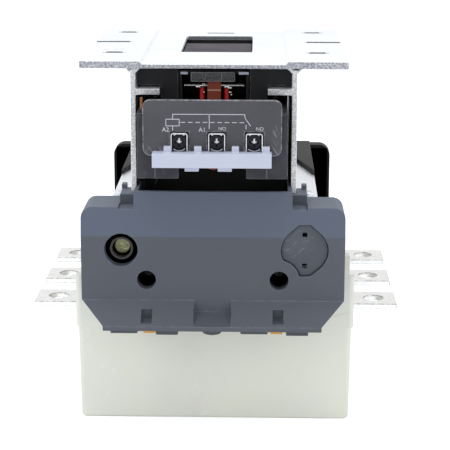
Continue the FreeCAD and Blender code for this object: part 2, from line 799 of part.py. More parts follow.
# Economy switch: a small changeover contact on the coil block, between the bracket's ribs.
def make_switch():
    frame = start_body("switch_frame")
    seat = "coil_top"
    front = depth("switch_front")
    back = depth("switch_front + switch_depth")
    pad(frame, "XZ_Plane", front, back, [rectangle("-switch_half", seat, "switch_half", "switch_top")])
    pocket(frame, "XZ_Plane", front, back + " - switch_wall",
           [rectangle("switch_wall - switch_half", seat + " + switch_wall", "switch_half - switch_wall",
                      "switch_top - switch_wall")])
    core = start_body("switch_core")
    pad(core, "XZ_Plane", front, back + " - switch_wall",
        [rectangle("-switch_core_half", seat + " + switch_wall", "switch_core_half", "switch_core_top")])
    leaves = start_body("switch_leaves")
    for side in SIDES:
        inner = "%d * switch_core_half" % side
        outer = "%d * (switch_core_half + leaf_length)" % side
        corners = rectangle(inner, "leaf_level", outer, "leaf_level + leaf_thick")
        pad(leaves, "XZ_Plane", depth("switch_front + leaf_inset"),
            depth("switch_front + leaf_inset + leaf_width"), [corners])
    leads = start_body("switch_leads")
    pad(leads, "XY_Plane", seat + " + switch_wall", "leaf_level", (),
        [("%d * lead_half" % side, depth("switch_front + leaf_inset + leaf_width / 2"), "lead_radius")
         for side in SIDES])


# Side housing: a moulded grey cover on the coil side, open at the back, that carries the
# auxiliary contact blocks on its lower edge and gives access to the interlock studs.
def make_side_housing():
    body = start_body("side_housing")
    back = depth("housing_back")
    outline = [("notch_inner", "housing_top"), ("notch_inner", "clip_top"), ("notch_outer", "clip_top"),
               ("notch_outer", "shoulder_top"), ("housing_half", "shoulder_top"),
               ("housing_half", "pad_top"), ("lip_half", "lip_top"), ("lip_half", "lip_bottom")]
    pad(body, "XZ_Plane", depth("lip_front"), back, [mirrored(outline)])

    def shoulder_corner(edge):
        middle = edge.BoundBox.Center
        return (along(edge, AXIS_Y) and near(abs(middle.x), "housing_half")
                and near(middle.z, "shoulder_top"))
    round_edges(body, "shoulder_round", shoulder_corner)
    ahead = depth("lip_front - cut_margin")
    face = depth("housing_face")
    above = "housing_top + cut_margin"
    relief = [(ahead, "lip_top"), (depth("lip_front"), "lip_top"), (face, "pad_top"), (face, "crease_level"),
              (depth("housing_face + housing_lean"), above), (ahead, above)]
    pocket(body, "YZ_Plane", "-housing_half - cut_margin", "housing_half + cut_margin", [relief])
    over = "pad_top + cut_margin"
    scoop = [(ahead, "lip_top"), (depth("lip_front"), "lip_top"), (face, "recess_floor"), (face, over),
             (ahead, over)]
    pocket(body, "YZ_Plane", "-recess_half", "recess_half", [scoop])
    for side in SIDES:
        low, high = sorted(("%d * notch_inner" % side, "%d * (notch_outer + notch_clear)" % side), key=number)
        pocket(body, "XY_Plane", "notch_floor", above,
               [rectangle(low, ahead, high, depth("clip_front"))])
    wall_room = depth("bracket_start - fit_gap")
    for side in SIDES:
        low, high = sorted(("%d * (channel_half - channel_wall - fit_gap)" % side,
                            "%d * (channel_half + fit_gap)" % side), key=number)
        pocket(body, "XY_Plane", "foot_under - fit_gap", above,
               [rectangle(low, wall_room, high, back)])
        low, high = sorted(("%d * channel_half" % side, "%d * (foot_half + fit_gap)" % side), key=number)
        pocket(body, "XY_Plane", "foot_under - fit_gap", "foot_top + fit_gap",
               [rectangle(low, wall_room, high, back)])
    inner_face = depth("housing_face + housing_lean + housing_wall")
    hollow = [("notch_inner - housing_wall", above), ("notch_inner - housing_wall", "crease_level"),
              ("notch_inner", "crease_level"), ("notch_inner", "notch_floor - housing_wall"),
              ("housing_half - housing_wall", "notch_floor - housing_wall"),
              ("housing_half - housing_wall", "pad_top + housing_wall / 2"),
              ("lip_half - housing_wall / 2", "lip_top + housing_wall / 2"),
              ("lip_half - housing_wall / 2", "lip_bottom + housing_wall")]
    pocket(body, "XZ_Plane", inner_face, back, [mirrored(hollow)])
    sink = depth("housing_face + housing_lean")
    outline, circle = cover_forms("cover_gap")
    pocket(body, "XZ_Plane", depth("housing_face - cut_margin"), sink, [outline])
    pocket(body, "XZ_Plane", depth("housing_face - cut_margin"), sink, (), circle)
    pad(body, "XZ_Plane", depth("housing_face"), sink, (),
        [("screw_hole_half", "screw_hole_level", "cover_bite - cover_gap")])
    bosses = start_body("screw_bosses")
    posts = [("%d * screw_hole_half" % side, "screw_hole_level", "screw_post_radius") for side in SIDES]
    pad(bosses, "XZ_Plane", inner_face, back, (), posts)
    bores = [("%d * screw_hole_half" % side, "screw_hole_level", "screw_hole_radius") for side in SIDES]
    pocket(bosses, "XZ_Plane", inner_face, depth("screw_post_floor"), (), bores)
    shanks = [("%d * screw_hole_half" % side, "screw_hole_level", "housing_shank_radius") for side in SIDES]
    pocket(bosses, "XZ_Plane", depth("screw_post_floor"), back, (), shanks)
    pocket(body, "XZ_Plane", depth("housing_face - cut_margin"), inner_face, (), bores)
    pocket(body, "XZ_Plane", depth("housing_face - cut_margin"), inner_face, (),
           [("-stud_half", "stud_level", "stud_hole_radius")])
    pocket(body, "XZ_Plane", sink, inner_face, (), [("stud_half", "stud_level", "stud_hole_radius")])
    windows = [square("%d * pad_window_half" % side, "pad_window_level", "pad_window") for side in SIDES]
    pocket(body, "XZ_Plane", ahead, depth("pad_window_floor"), windows)
    slots = [rectangle("%d * driver_half - driver_width / 2 - driver_room" % side,
                       depth("driver_front - driver_room"),
                       "%d * driver_half + driver_width / 2 + driver_room" % side,
                       depth("driver_front + driver_depth + driver_room")) for side in SIDES]
    slot_top = "cross_arm_bottom + cross_arm_height + stroke + driver_room"
    pocket(body, "XY_Plane", "lip_bottom", slot_top, slots)
    tab_back = depth("lip_front + lip_tab_depth")
    for width, drop, shift in (("wide_tab_width", "wide_tab_drop", "-wide_tab_shift"),
                               ("small_tab_width", "small_tab_drop", "small_tab_shift")):
        tabs = []
        for side in SIDES:
            centre = "%d * tab_pair_half + %s" % (side, shift)
            tabs.append(rectangle("%s - %s / 2" % (centre, width), depth("lip_front"),
                                  "%s + %s / 2" % (centre, width), tab_back))
        pad(body, "XY_Plane", "lip_bottom - " + drop, "lip_bottom", tabs)
    bump = [("bump_half * cos(%d)" % turn, "lip_bottom - bump_drop * sin(%d)" % turn)
            for turn in range(0, 181, 20)]
    pad(body, "XZ_Plane", depth("lip_front"), tab_back, [bump])
    lugs = [rectangle("%d * (notch_outer - lug_width)" % side, back + " - lug_depth",
                      "%d * notch_outer" % side, back) for side in SIDES]
    pad(body, "XY_Plane", "clip_top", "clip_top + lug_rise", lugs)


def cover_forms(grow):
    """The knock-out cover's circle and the body between its two flats, made larger by a gap."""
    radius = "(cover_radius + %s)" % grow
    height = "(cover_height + %s)" % grow
    flat = "cover_flat_half"
    reach = "sqrt(%s ^ 2 + %s ^ 2)" % (height, flat)
    turn = "(atan2(%s; %s) - acos(%s / %s))" % (height, flat, radius, reach)
    across = "%s * cos(%s)" % (radius, turn)
    up = "%s * sin(%s)" % (radius, turn)
    quarter = [(flat, height), (across, up)]
    corners = quarter + [(x, "-(%s)" % z) for x, z in reversed(quarter)]
    corners += [("-(%s)" % x, z) for x, z in reversed(corners)]
    outline = [("stud_half + %s" % x, "stud_level + %s" % z) for x, z in corners]
    return outline, [("stud_half", "stud_level", radius)]


# Knock-out cover over the right-hand stud, with two small square windows for a tool.
def make_cover():
    body = start_body("knockout_cover")
    front = depth("housing_face + cover_set_back")
    back = depth("housing_face + housing_lean")
    outline, circle = cover_forms("0")
    pad(body, "XZ_Plane", front, back, (), circle)
    pad(body, "XZ_Plane", front, back, [outline])
    pocket(body, "XZ_Plane", front, back, (), [("screw_hole_half", "screw_hole_level", "cover_bite")])
    windows = []
    for side in SIDES:
        level = "stud_level + %d * cover_window_rise" % side
        windows.append(square("stud_half", level, "cover_window"))
    pocket(body, "XZ_Plane", front, back, windows)


# Interlock studs: yellow-passivated rods in black sleeves, one behind each side opening.
def make_studs():
    wall = depth("housing_back")
    studs = start_body("interlock_studs")
    pad(studs, "XZ_Plane", depth("stud_front"), wall + " + stud_bury", (),
        [("%d * stud_half" % side, "stud_level", "stud_radius") for side in SIDES])
    sleeves = start_body("stud_sleeves")
    for side, mouth in ((-1, depth("sleeve_front")), (1, depth("stud_front"))):
        spot = ("%d * stud_half" % side, "stud_level")
        pad(sleeves, "XZ_Plane", mouth, wall, (),
            [spot + ("sleeve_radius",), spot + ("sleeve_radius - sleeve_wall",)])


def make_housing_screws():
    """Screws deep in the side housing's two round holes."""
    spots = [("%d * screw_hole_half" % side, "screw_hole_level") for side in SIDES]
    make_screws("housing_screws", "XZ_Plane", depth("screw_post_floor"), -1, spots, "housing_head_radius",
                "housing_head_height", "housing_shank_radius", "housing_screw_length")


# Far cover: a shallow black tray over the other end, with gussets that lie on the bracket's feet.
def make_far_cover():
    body = start_body("far_cover")
    start = depth("far_start")
    end = "overall_width / 2"
    chin = "far_half - far_round"
    outline = [("far_half", "far_top"), ("far_half", "pad_top"), (chin, "lip_bottom")]
    pad(body, "XZ_Plane", start, end, [mirrored(outline)])

    def top_corner(edge):
        middle = edge.BoundBox.Center
        return along(edge, AXIS_Y) and near(abs(middle.x), "far_half") and near(middle.z, "far_top")
    round_edges(body, "far_round", top_corner)
    inner = [("far_half - far_wall", "far_top - far_wall"), ("far_half - far_wall", "pad_top + far_wall / 2"),
             (chin + " - far_wall / 2", "lip_bottom + far_wall")]
    pocket(body, "XZ_Plane", start, end + " - far_wall", [mirrored(inner)])
    for side in SIDES:
        inner = "%d * (channel_half + fit_gap)" % side
        outer = "%d * foot_half" % side
        corners = [(inner, depth("gusset_far")), (outer, depth("gusset_near")), (outer, end + " - far_wall"),
                   (inner, end + " - far_wall")]
        pad(body, "XY_Plane", "foot_top", "foot_top + gusset_thick", [corners])
        pocket(body, "XY_Plane", "foot_top", "foot_top + foot_head_height + fit_gap", (),
               [("%d * foot_screw_half" % side, depth("foot_screw_last"), "foot_head_radius + fit_gap")])


# Base frame: the black moulded box between the poles and the bracket. It guides the carriage and
# gives the return springs their seats.
def make_base():
    body = start_body("base_frame")
    top = "foot_under"
    near_end = depth("housing_back")
    far_end = "overall_width / 2 - far_wall"
    pad(body, "XY_Plane", "base_bottom", top, [rectangle("-base_half", near_end, "base_half", far_end)])
    pad(body, "XY_Plane", "base_bottom", top,
        [rectangle("-end_flange_half", near_end, "end_flange_half", near_end + " + end_flange_thick")])
    first, last = (depth(place) for place in pole_spread())
    room = rectangle("base_side - base_half", first + " + barrier / 2", "base_half - base_side",
                     last + " - barrier / 2")
    pocket(body, "XY_Plane", "base_bottom", "base_ceiling", [room])
    well = rectangle("-yoke_half - well_gap", depth("stack_start - well_end_gap"), "yoke_half + well_gap",
                     depth("stack_end + well_end_gap"))
    pocket(body, "XY_Plane", "base_ceiling", top, [well])
    pocket(body, "XY_Plane", "base_bottom", "spring_seat + stroke + cut_margin",
           [rectangle("-arm_half - cut_margin", near_end, "arm_half + cut_margin", first + " + barrier / 2")])
    studs = [("%d * stud_half" % side, "stud_level", "stud_radius") for side in SIDES]
    pocket(body, "XZ_Plane", near_end, near_end + " + stud_bury", (), studs)
    screws = [("%d * screw_hole_half" % side, "screw_hole_level", "housing_shank_radius") for side in SIDES]
    pocket(body, "XZ_Plane", near_end, depth("screw_post_floor + housing_screw_length"), (), screws)
    holes = [("%d * foot_screw_half" % side, depth(place), "foot_screw_radius")
             for side in SIDES for place in ("foot_screw_first", "foot_screw_last")]
    pocket(body, "XY_Plane", "foot_top - foot_screw_length", top, (), holes)


def pole_spread():
    """Near and far faces of the pole block, as depths."""
    return ("first_pole - pole_pitch / 2 - pole_block_margin",
            "first_pole + %s * pole_pitch + pole_block_margin" % (len(POLES) - 0.5))


# Pole housing: the beige moulding that holds the six terminals between phase barriers.
def make_pole_housing():
    body = start_body("pole_housing")
    first, last = (depth(place) for place in pole_spread())
    pad(body, "XY_Plane", "pole_bottom", "base_bottom", [rectangle("-pole_half", first, "pole_half", last)])
    round_edges(body, "pole_round", corners_at("pole_half", [first, last]))
    trough = rectangle("-trough_half", first + " + barrier / 2", "trough_half", last + " - barrier / 2")
    pocket(body, "XY_Plane", "trough_floor", "base_bottom", [trough])
    for index in POLES:
        centre = pole(index)
        low = "%s - pole_pitch / 2 + barrier / 2" % centre
        high = "%s + pole_pitch / 2 - barrier / 2" % centre
        pocket(body, "XY_Plane", "pole_bottom", "tab_top - tab_thick",
               [rectangle("-well_half", low, "well_half", high)])
        pocket(body, "XY_Plane", "tab_top - tab_thick", "trough_floor",
               [rectangle("-trough_half", low, "trough_half", high)])
        for side in SIDES:
            inner = "%d * bay_inner" % side
            outer = "%d * (pole_half + cut_margin)" % side
            pocket(body, "XY_Plane", "tab_top", "base_bottom", [rectangle(inner, low, outer, high)])
            start = "%d * (trough_half - cut_margin)" % side
            slot = rectangle(start, "%s - tab_width / 2 - fit_gap" % centre,
                             outer, "%s + tab_width / 2 + fit_gap" % centre)
            pocket(body, "XY_Plane", "tab_top - tab_thick", "tab_top", [slot])
    screws = [("%d * chamber_screw_half" % side, depth("first_pole + %s * pole_pitch" % step),
               "chamber_screw_radius") for side in SIDES for step in ("0.5", "1.5")]
    pocket(body, "XY_Plane", "pole_bottom", "chamber_screw_top", (), screws)


# Arc chamber: the deep beige box that closes the front, one cell to each pole.
def make_arc_chamber():
    body = start_body("arc_chamber")
    first, last = (depth(place) for place in pole_spread())
    plan = rectangle("-chamber_half", first + " + chamber_set_in", "chamber_half", last + " - chamber_set_in")
    sketch = draw(body, "XY_Plane", "pole_bottom", [plan])
    feature = body.newObject("PartDesign::Pad", "Pad")
    feature.Profile = sketch
    feature.setExpression("Length", bind("pole_bottom"))
    feature.Reversed = True
    feature.setExpression("TaperAngle", bind("-chamber_draft"))
    doc.recompute()

    def upright(edge):
        box = edge.BoundBox
        return box.ZLength > number("pole_bottom - cut_margin")
    round_edges(body, "chamber_round", upright)

    def foot_rim(edge):
        return edge.BoundBox.ZMax < 0.01
    round_edges(body, "chamber_edge", foot_rim, "Chamfer")
    cells = []
    for index in POLES:
        low = "%s - pole_pitch / 2 + barrier / 2" % pole(index)
        high = "%s + pole_pitch / 2 - barrier / 2" % pole(index)
        cells.append(rectangle("chamber_wall - chamber_half", low, "chamber_half - chamber_wall", high))
    pocket(body, "XY_Plane", "chamber_floor", "pole_bottom", cells)
    spots = [("%d * chamber_screw_half" % side, depth("first_pole + %s * pole_pitch" % step))
             for side in SIDES for step in ("0.5", "1.5")]
    pocket(body, "XY_Plane", "0", "chamber_bore_depth", (),
           [(x, y, "chamber_head_radius + fit_gap") for x, y in spots])
    pocket(body, "XY_Plane", "chamber_bore_depth", "pole_bottom", (),
           [(x, y, "chamber_screw_radius") for x, y in spots])
    make_screws("chamber_screws", "XY_Plane", "chamber_bore_depth", -1, spots, "chamber_head_radius",
                "chamber_head_height", "chamber_screw_radius", "chamber_screw_top - chamber_bore_depth")


# Terminals: six plated copper tabs with a bolt hole outside and a contact tip inside.
def make_terminals():
    names = {-1: "load_terminal_%d", 1: "line_terminal_%d"}
    low = "tab_top - tab_thick"
    for side in SIDES:
        for index in POLES:
            body = start_body(names[side] % (index + 1))
            centre = pole(index)
            pad(body, "XY_Plane", low, "tab_top",
                [rectangle("%d * tab_inner" % side, "%s - tab_width / 2" % centre, "%d * tab_half" % side,
                           "%s + tab_width / 2" % centre)])
            pocket(body, "XY_Plane", low, "tab_top", (),
                   [("%d * tab_hole_half" % side, centre, "tab_hole_radius")])
    tips = start_body("fixed_contact_tips")
    pad(tips, "XY_Plane", low + " - tip_thick", low,
        [tip_outline(side, index) for side in SIDES for index in POLES])


def tip_outline(side, index):
    """Plan of one contact tip."""
    centre = pole(index)
    return rectangle("%d * tip_inner" % side, "%s - tip_width / 2" % centre,
                     "%d * (tip_inner + tip_length)" % side, "%s + tip_width / 2" % centre)


# Carriage: the moving contact carrier with its cages, bridges, springs and drive arm.
def make_carriage():
    tip_under = "tab_top - tab_thick - tip_thick - stroke - stroke_spare"
    bridge_top = tip_under + " - moving_tip_thick"
    bridge_low = bridge_top + " - bridge_thick"
    bar_top = bridge_low + " - contact_spring_length"
    carrier = start_body("contact_carrier")
    first, last = (depth(place) for place in pole_spread())
    bar_start = first + " + barrier / 2 + crossbar_end_gap"
    bar_end = last + " - barrier / 2 - crossbar_end_gap"
    pad(carrier, "XY_Plane", "crossbar_bottom", "crossbar_top",
        [rectangle("-crossbar_half", bar_start, "crossbar_half", bar_end)])
    for index in POLES:
        centre = pole(index)
        wide = (centre + " - stem_width / 2", centre + " + stem_width / 2")
        pad(carrier, "XY_Plane", bridge_top, "crossbar_bottom",
            [rectangle("-stem_half", wide[0], "stem_half", wide[1])])
        pad(carrier, "XY_Plane", bar_top, bridge_top,
            [rectangle("-stem_half", wide[0], "stem_half", wide[0] + " + cage_post")])
        pad(carrier, "XY_Plane", bar_top, bridge_top,
            [rectangle("-stem_half", wide[1] + " - cage_post", "stem_half", wide[1])])
        pad(carrier, "XY_Plane", bar_top + " - cage_bar", bar_top,
            [rectangle("-stem_half", wide[0], "stem_half", wide[1])])
    middle = depth("(stack_start + stack_end) / 2")
    pad(carrier, "XY_Plane", "crossbar_top", "pole_face - stroke - stroke_spare - armature_thick",
        [rectangle("-pedestal_half", middle + " - pedestal_length / 2", "pedestal_half",
                   middle + " + pedestal_length / 2")])
    pad(carrier, "XY_Plane", "crossbar_top", "spring_seat",
        [rectangle("-arm_half", bar_end + " - arm_back + housing_back", "arm_half", bar_end)])
    arm = start_body("auxiliary_arm")
    pad(arm, "XY_Plane", "spring_seat - arm_thick", "spring_seat",
        [rectangle("-arm_half", depth("cross_arm_back - arm_thick"), "arm_half", depth("arm_back"))])
    pocket_room = rectangle("-arm_half", bar_start, "arm_half", depth("arm_back"))
    pad(carrier, "XY_Plane", "crossbar_top", "spring_seat - arm_thick", [pocket_room])
    pad(arm, "XY_Plane", "cross_arm_bottom", "spring_seat - arm_thick",
        [rectangle("-arm_half", depth("cross_arm_back - arm_thick"), "arm_half", depth("cross_arm_back"))])
    pad(arm, "XY_Plane", "cross_arm_bottom", "cross_arm_bottom + cross_arm_height",
        [rectangle("-cross_arm_half", depth("driver_front + driver_depth"), "cross_arm_half",
                   depth("cross_arm_back"))])
    for side, name in ((-1, "auxiliary_driver_left"), (1, "auxiliary_driver_right")):
        driver = start_body(name)
        pad(driver, "XY_Plane", "driver_bottom", "cross_arm_bottom + cross_arm_height",
            [rectangle("%d * driver_half - driver_width / 2" % side, depth("driver_front"),
                       "%d * driver_half + driver_width / 2" % side, depth("driver_front + driver_depth"))])
    for index in POLES:
        centre = pole(index)
        bridge = start_body("moving_bridge_%d" % (index + 1))
        pad(bridge, "XY_Plane", bridge_low, bridge_top,
            [rectangle("-bridge_half", centre + " - bridge_width / 2", "bridge_half",
                       centre + " + bridge_width / 2")])
        spring = make_spring(FreeCAD.Vector(0, number(centre), number(bar_top)),
                             number("contact_spring_length"), number("contact_spring_turns"))
        add_shape("contact_spring_%d" % (index + 1), spring)
    tips = start_body("moving_contact_tips")
    pad(tips, "XY_Plane", bridge_top, tip_under,
        [tip_outline(side, index) for side in SIDES for index in POLES])
    seat = number("spring_seat")
    length = number("base_ceiling") - seat
    for place, name in ((bar_start + " + spring_inset", "return_spring_near"),
                        (bar_end + " - spring_inset", "return_spring_far")):
        add_shape(name, make_spring(FreeCAD.Vector(0, number(place), seat), length,
                                    number("return_spring_turns")))


def make_spring(seat, length, turns):
    """A round-wire compression spring that stands on a seat."""
    wire = number("spring_wire")
    radius = number("spring_radius") - wire / 2
    height = length - wire
    helix = Part.makeHelix(height / turns, height, radius)
    helix.translate(seat + AXIS_Z * (wire / 2))
    start = seat + FreeCAD.Vector(radius, 0, wire / 2)
    circle = Part.Wire(Part.Circle(start, AXIS_Y, wire / 2).toShape())
    return Part.Wire(helix.Edges).makePipeShell([circle], True, True)


# Arc splitter plates: notched steel sheets stacked in both ends of each cell.
def make_splitters():
    for index in POLES:
        plates = start_body("arc_splitters_%d" % (index + 1))
        centre = pole(index)
        low = "%s - pole_pitch / 2 + barrier / 2 + fit_gap" % centre
        high = "%s + pole_pitch / 2 - barrier / 2 - fit_gap" % centre
        corners = []
        for side in SIDES:
            inner = "%d * splitter_inner" % side
            outer = "%d * splitter_outer" % side
            notch = "%d * (splitter_inner + splitter_notch_depth)" % side
            corners.append([(inner, low), (outer, low), (outer, high), (inner, high),
                            (inner, centre + " + splitter_notch"), (notch, centre),
                            (inner, centre + " - splitter_notch")])
        for step in range(round(number("splitter_count"))):
            level = "splitter_low + %d * splitter_pitch" % step
            pad(plates, "XY_Plane", level, level + " + splitter_thick", corners)


def finish():
    """Check every object and write one file for each piece."""
    doc.recompute()
    for item in doc.Objects:
        if "Invalid" in item.State or "Error" in item.State:
            raise RuntimeError("%s is in state %s" % (item.Label, item.State))
    os.makedirs("parts", exist_ok=True)
    for part in PARTS:
        shape = part.Shape
        if shape.isNull() or not shape.isValid():
            raise RuntimeError("%s has no valid shape" % part.Label)
        shape.exportStep(os.path.join("parts", part.Label + ".step"))


make_bracket()
make_foot_screws()
make_magnet()
make_coil()
make_coil_block()
make_switch()
make_side_housing()
make_cover()
make_studs()
make_housing_screws()
make_far_cover()
make_base()
make_pole_housing()
make_arc_chamber()
make_terminals()
make_carriage()
make_splitters()
finish()
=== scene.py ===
# Magnetic contactor, photographed standing on its front cover on a white sheet.
# Shapes are written in millimetres and turned into metres where their mesh is made. Places in a
# material's pattern are in metres, as the mesh is.

import json
import math

import bmesh
import bpy
from mathutils import Matrix, Vector

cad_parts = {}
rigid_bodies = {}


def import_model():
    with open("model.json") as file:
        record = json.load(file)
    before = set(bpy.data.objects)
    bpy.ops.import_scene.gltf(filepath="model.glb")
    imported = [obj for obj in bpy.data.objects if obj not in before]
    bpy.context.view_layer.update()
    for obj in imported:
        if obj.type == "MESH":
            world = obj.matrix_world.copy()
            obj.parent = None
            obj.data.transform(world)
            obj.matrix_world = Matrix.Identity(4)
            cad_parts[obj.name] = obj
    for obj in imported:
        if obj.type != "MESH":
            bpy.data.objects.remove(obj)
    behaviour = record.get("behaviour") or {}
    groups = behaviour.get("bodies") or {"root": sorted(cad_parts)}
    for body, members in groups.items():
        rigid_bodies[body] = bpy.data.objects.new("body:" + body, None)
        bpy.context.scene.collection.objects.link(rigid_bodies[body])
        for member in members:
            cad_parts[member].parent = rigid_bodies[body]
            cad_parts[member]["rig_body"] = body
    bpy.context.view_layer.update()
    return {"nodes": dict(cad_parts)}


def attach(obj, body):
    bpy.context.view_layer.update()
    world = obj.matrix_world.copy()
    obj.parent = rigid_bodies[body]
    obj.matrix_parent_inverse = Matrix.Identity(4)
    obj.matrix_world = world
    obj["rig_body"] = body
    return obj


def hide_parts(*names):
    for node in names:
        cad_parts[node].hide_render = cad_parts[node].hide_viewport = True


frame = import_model()
nodes = frame["nodes"]
scene = bpy.context.scene
scene.view_settings.view_transform = "Standard"
MM = 0.001


# Camera: a long lens on the coil side, a little above the object and looking slightly down,
# which is how the photograph sees it.
lens = bpy.data.cameras.new("camera")
lens.sensor_width = 36.0
lens.lens = 121.77
camera = bpy.data.objects.new("camera", lens)
scene.collection.objects.link(camera)
camera.location = (0.0246, -0.87314, 0.31437)
camera.rotation_euler = (math.radians(76.198), math.radians(-0.099), math.radians(1.345))
scene.camera = camera


# White sheet: one wide plain floor of matt paper. The eye, a mirror and clear plastic see it lit
# to its limit, and it keeps a soft shadow under the object.
def put(tree, kind, inputs=None, **settings):
    """A new node. An input is given a plain value, or another node's output to be linked."""
    node = tree.nodes.new(kind)
    for name, value in settings.items():
        setattr(node, name, value)
    for name, value in (inputs or {}).items():
        if isinstance(value, bpy.types.NodeSocket):
            tree.links.new(value, node.inputs[name])
        else:
            node.inputs[name].default_value = value
    return node


def blank_material(name):
    """A node material with only its output, and that output."""
    material = bpy.data.materials.new(name)
    material.use_nodes = True
    material.node_tree.nodes.clear()
    return material, material.node_tree, material.node_tree.nodes.new("ShaderNodeOutputMaterial")


def blend(tree, factor, one, other):
    """Colour between two colours."""
    node = put(tree, "ShaderNodeMix", {0: factor}, data_type="RGBA")
    for place, value in ((6, one), (7, other)):
        if isinstance(value, bpy.types.NodeSocket):
            tree.links.new(value, node.inputs[place])
        else:
            node.inputs[place].default_value = tuple(value) + (1.0,)
    return node.outputs[2]


def maths(tree, operation, *values):
    """One arithmetic step."""
    return put(tree, "ShaderNodeMath", dict(enumerate(values)), operation=operation).outputs[0]


def ramp(tree, value, start, end, low=0.0, high=1.0):
    """A straight ramp from one value to another, flat outside its ends."""
    return put(tree, "ShaderNodeMapRange", {0: value, 1: start, 2: end, 3: low, 4: high}).outputs[0]


def seen_directly(tree):
    """One for a ray from the eye, a mirror or clear plastic, and nought for diffuse light."""
    path = put(tree, "ShaderNodeLightPath")
    both = maths(tree, "MAXIMUM", path.outputs["Is Camera Ray"], path.outputs["Is Glossy Ray"])
    return maths(tree, "MAXIMUM", both, path.outputs["Is Transmission Ray"])


SHEET_GLOW = 0.48
SHEET_REACH = 14.0
sheet, tree, output = blank_material("white_sheet")
fibres = put(tree, "ShaderNodeTexNoise", {"Scale": 900.0, "Detail": 3.0}).outputs["Fac"]
paper = put(tree, "ShaderNodeBsdfDiffuse", {"Color": blend(tree, fibres, (0.84, 0.84, 0.84),
                                                           (0.88, 0.88, 0.88))})
glow = put(tree, "ShaderNodeEmission", {"Strength": maths(tree, "MULTIPLY", seen_directly(tree),
                                                          SHEET_GLOW)})
both = put(tree, "ShaderNodeAddShader", {0: paper.outputs[0], 1: glow.outputs[0]})
tree.links.new(both.outputs[0], output.inputs["Surface"])

bm = bmesh.new()
bmesh.ops.create_grid(bm, x_segments=1, y_segments=1, size=SHEET_REACH)
mesh = bpy.data.meshes.new("floor")
bm.to_mesh(mesh)
bm.free()
floor = bpy.data.objects.new("floor", mesh)
scene.collection.objects.link(floor)
floor.data.materials.append(sheet)


# Studio light: a white room, brighter and a little bluer above than below, with a broad soft box
# overhead and two weaker ones in front.
world = bpy.data.worlds.new("studio")
scene.world = world
world.use_nodes = True
tree = world.node_tree
tree.nodes.clear()
facing = put(tree, "ShaderNodeTexCoord").outputs["Generated"]
height = put(tree, "ShaderNodeSeparateXYZ", {0: facing}).outputs[2]
walls = blend(tree, ramp(tree, height, -0.1, 0.9), (0.55, 0.55, 0.54), (0.84, 0.90, 1.0))
room = put(tree, "ShaderNodeBackground", {"Color": blend(tree, seen_directly(tree), walls,
                                                         (1.0, 1.0, 1.0))})
tree.links.new(room.outputs[0], put(tree, "ShaderNodeOutputWorld").inputs["Surface"])


def soft_box(name, place, size, power, color=(1.0, 1.0, 1.0)):
    """A square area light that looks at the middle of the object."""
    light = bpy.data.lights.new(name, "AREA")
    light.shape = "SQUARE"
    light.size = size
    light.energy = power
    light.color = color
    lamp = bpy.data.objects.new(name, light)
    lamp.location = place
    lamp.rotation_euler = (Vector((0, 0, 0.1)) - Vector(place)).to_track_quat("-Z", "Y").to_euler()
    scene.collection.objects.link(lamp)


soft_box("overhead_box", (-0.1, -0.1, 1.5), 1.3, 10.0, (0.90, 0.95, 1.0))
soft_box("left_box", (-1.1, -1.2, 0.6), 0.9, 4.3)
soft_box("right_box", (1.2, -1.1, 0.5), 0.9, 3.2)


# Mounting bracket: an aluminium extrusion cut to length. Fine die lines run along it, its sawn ends are
# duller and speckled, the walls of its slots are darker and less metallic, and a worn ink mark is on one
# flange. The inside faces of its walls, down in the channel, are painted near black as painted shade.
def new_group(name, inputs, outputs):
    """An empty node group with float inputs (name to default) and named, typed outputs."""
    group = bpy.data.node_groups.new(name, "ShaderNodeTree")
    for label, value in inputs.items():
        group.interface.new_socket(label, in_out="INPUT",
                                   socket_type="NodeSocketFloat").default_value = value
    for label, kind in outputs.items():
        group.interface.new_socket(label, in_out="OUTPUT", socket_type="NodeSocket" + kind)
    return group, group.nodes.new("NodeGroupInput").outputs, group.nodes.new("NodeGroupOutput").inputs


def use_group(tree, group, **inputs):
    """A node that shows a group, with its inputs' values by name."""
    node = tree.nodes.new("ShaderNodeGroup")
    node.node_tree = group
    for name, value in inputs.items():
        node.inputs[name.capitalize()].default_value = value
    return node.outputs


def object_place(tree):
    """The place on the piece, in metres."""
    return put(tree, "ShaderNodeTexCoord").outputs["Object"]


def cloud(tree, vector, scale, detail=4.0, rough=0.6):
    """Smooth noise."""
    inputs = {"Vector": vector, "Scale": scale, "Detail": detail, "Roughness": rough}
    return put(tree, "ShaderNodeTexNoise", inputs).outputs["Fac"]


# Blotches are slow changes of tone over a surface.
blotches, given, result = new_group("blotches", {"Scale": 60.0, "Low": 0.35, "High": 0.7},
                                    {"Factor": "Float"})
tone = ramp(blotches, cloud(blotches, object_place(blotches), given["Scale"], 5.0), given["Low"],
            given["High"])
blotches.links.new(tone, result["Factor"])

# Edge marks are the rounded edges, in uneven patches: their other tone is partly wear where an edge is
# broken and partly a painted highlight.
edge_wear_and_highlight, given, result = new_group("edge_wear_and_highlight_patches", {"Scale": 400.0, "Low": 0.3, "High": 0.6},
                                  {"Factor": "Float"})
mark = put(edge_wear_and_highlight, "ShaderNodeAttribute", attribute_name="edge").outputs["Fac"]
patch = ramp(edge_wear_and_highlight, cloud(edge_wear_and_highlight, object_place(edge_wear_and_highlight), given["Scale"], 3.0), given["Low"], given["High"])
edge_wear_and_highlight.links.new(maths(edge_wear_and_highlight, "MULTIPLY", mark, patch), result["Factor"])

# Skin is the fine grain of a moulded or blasted surface.
both_outputs = {"Normal": "Vector", "Height": "Float"}
skin, given, result = new_group("skin", {"Scale": 2200.0, "Depth": 0.00002}, both_outputs)
fine = cloud(skin, object_place(skin), given["Scale"], 3.0, 0.65)
relief = put(skin, "ShaderNodeBump", {"Height": fine, "Distance": given["Depth"], "Strength": 0.8})
skin.links.new(relief.outputs[0], result["Normal"])
skin.links.new(fine, result["Height"])

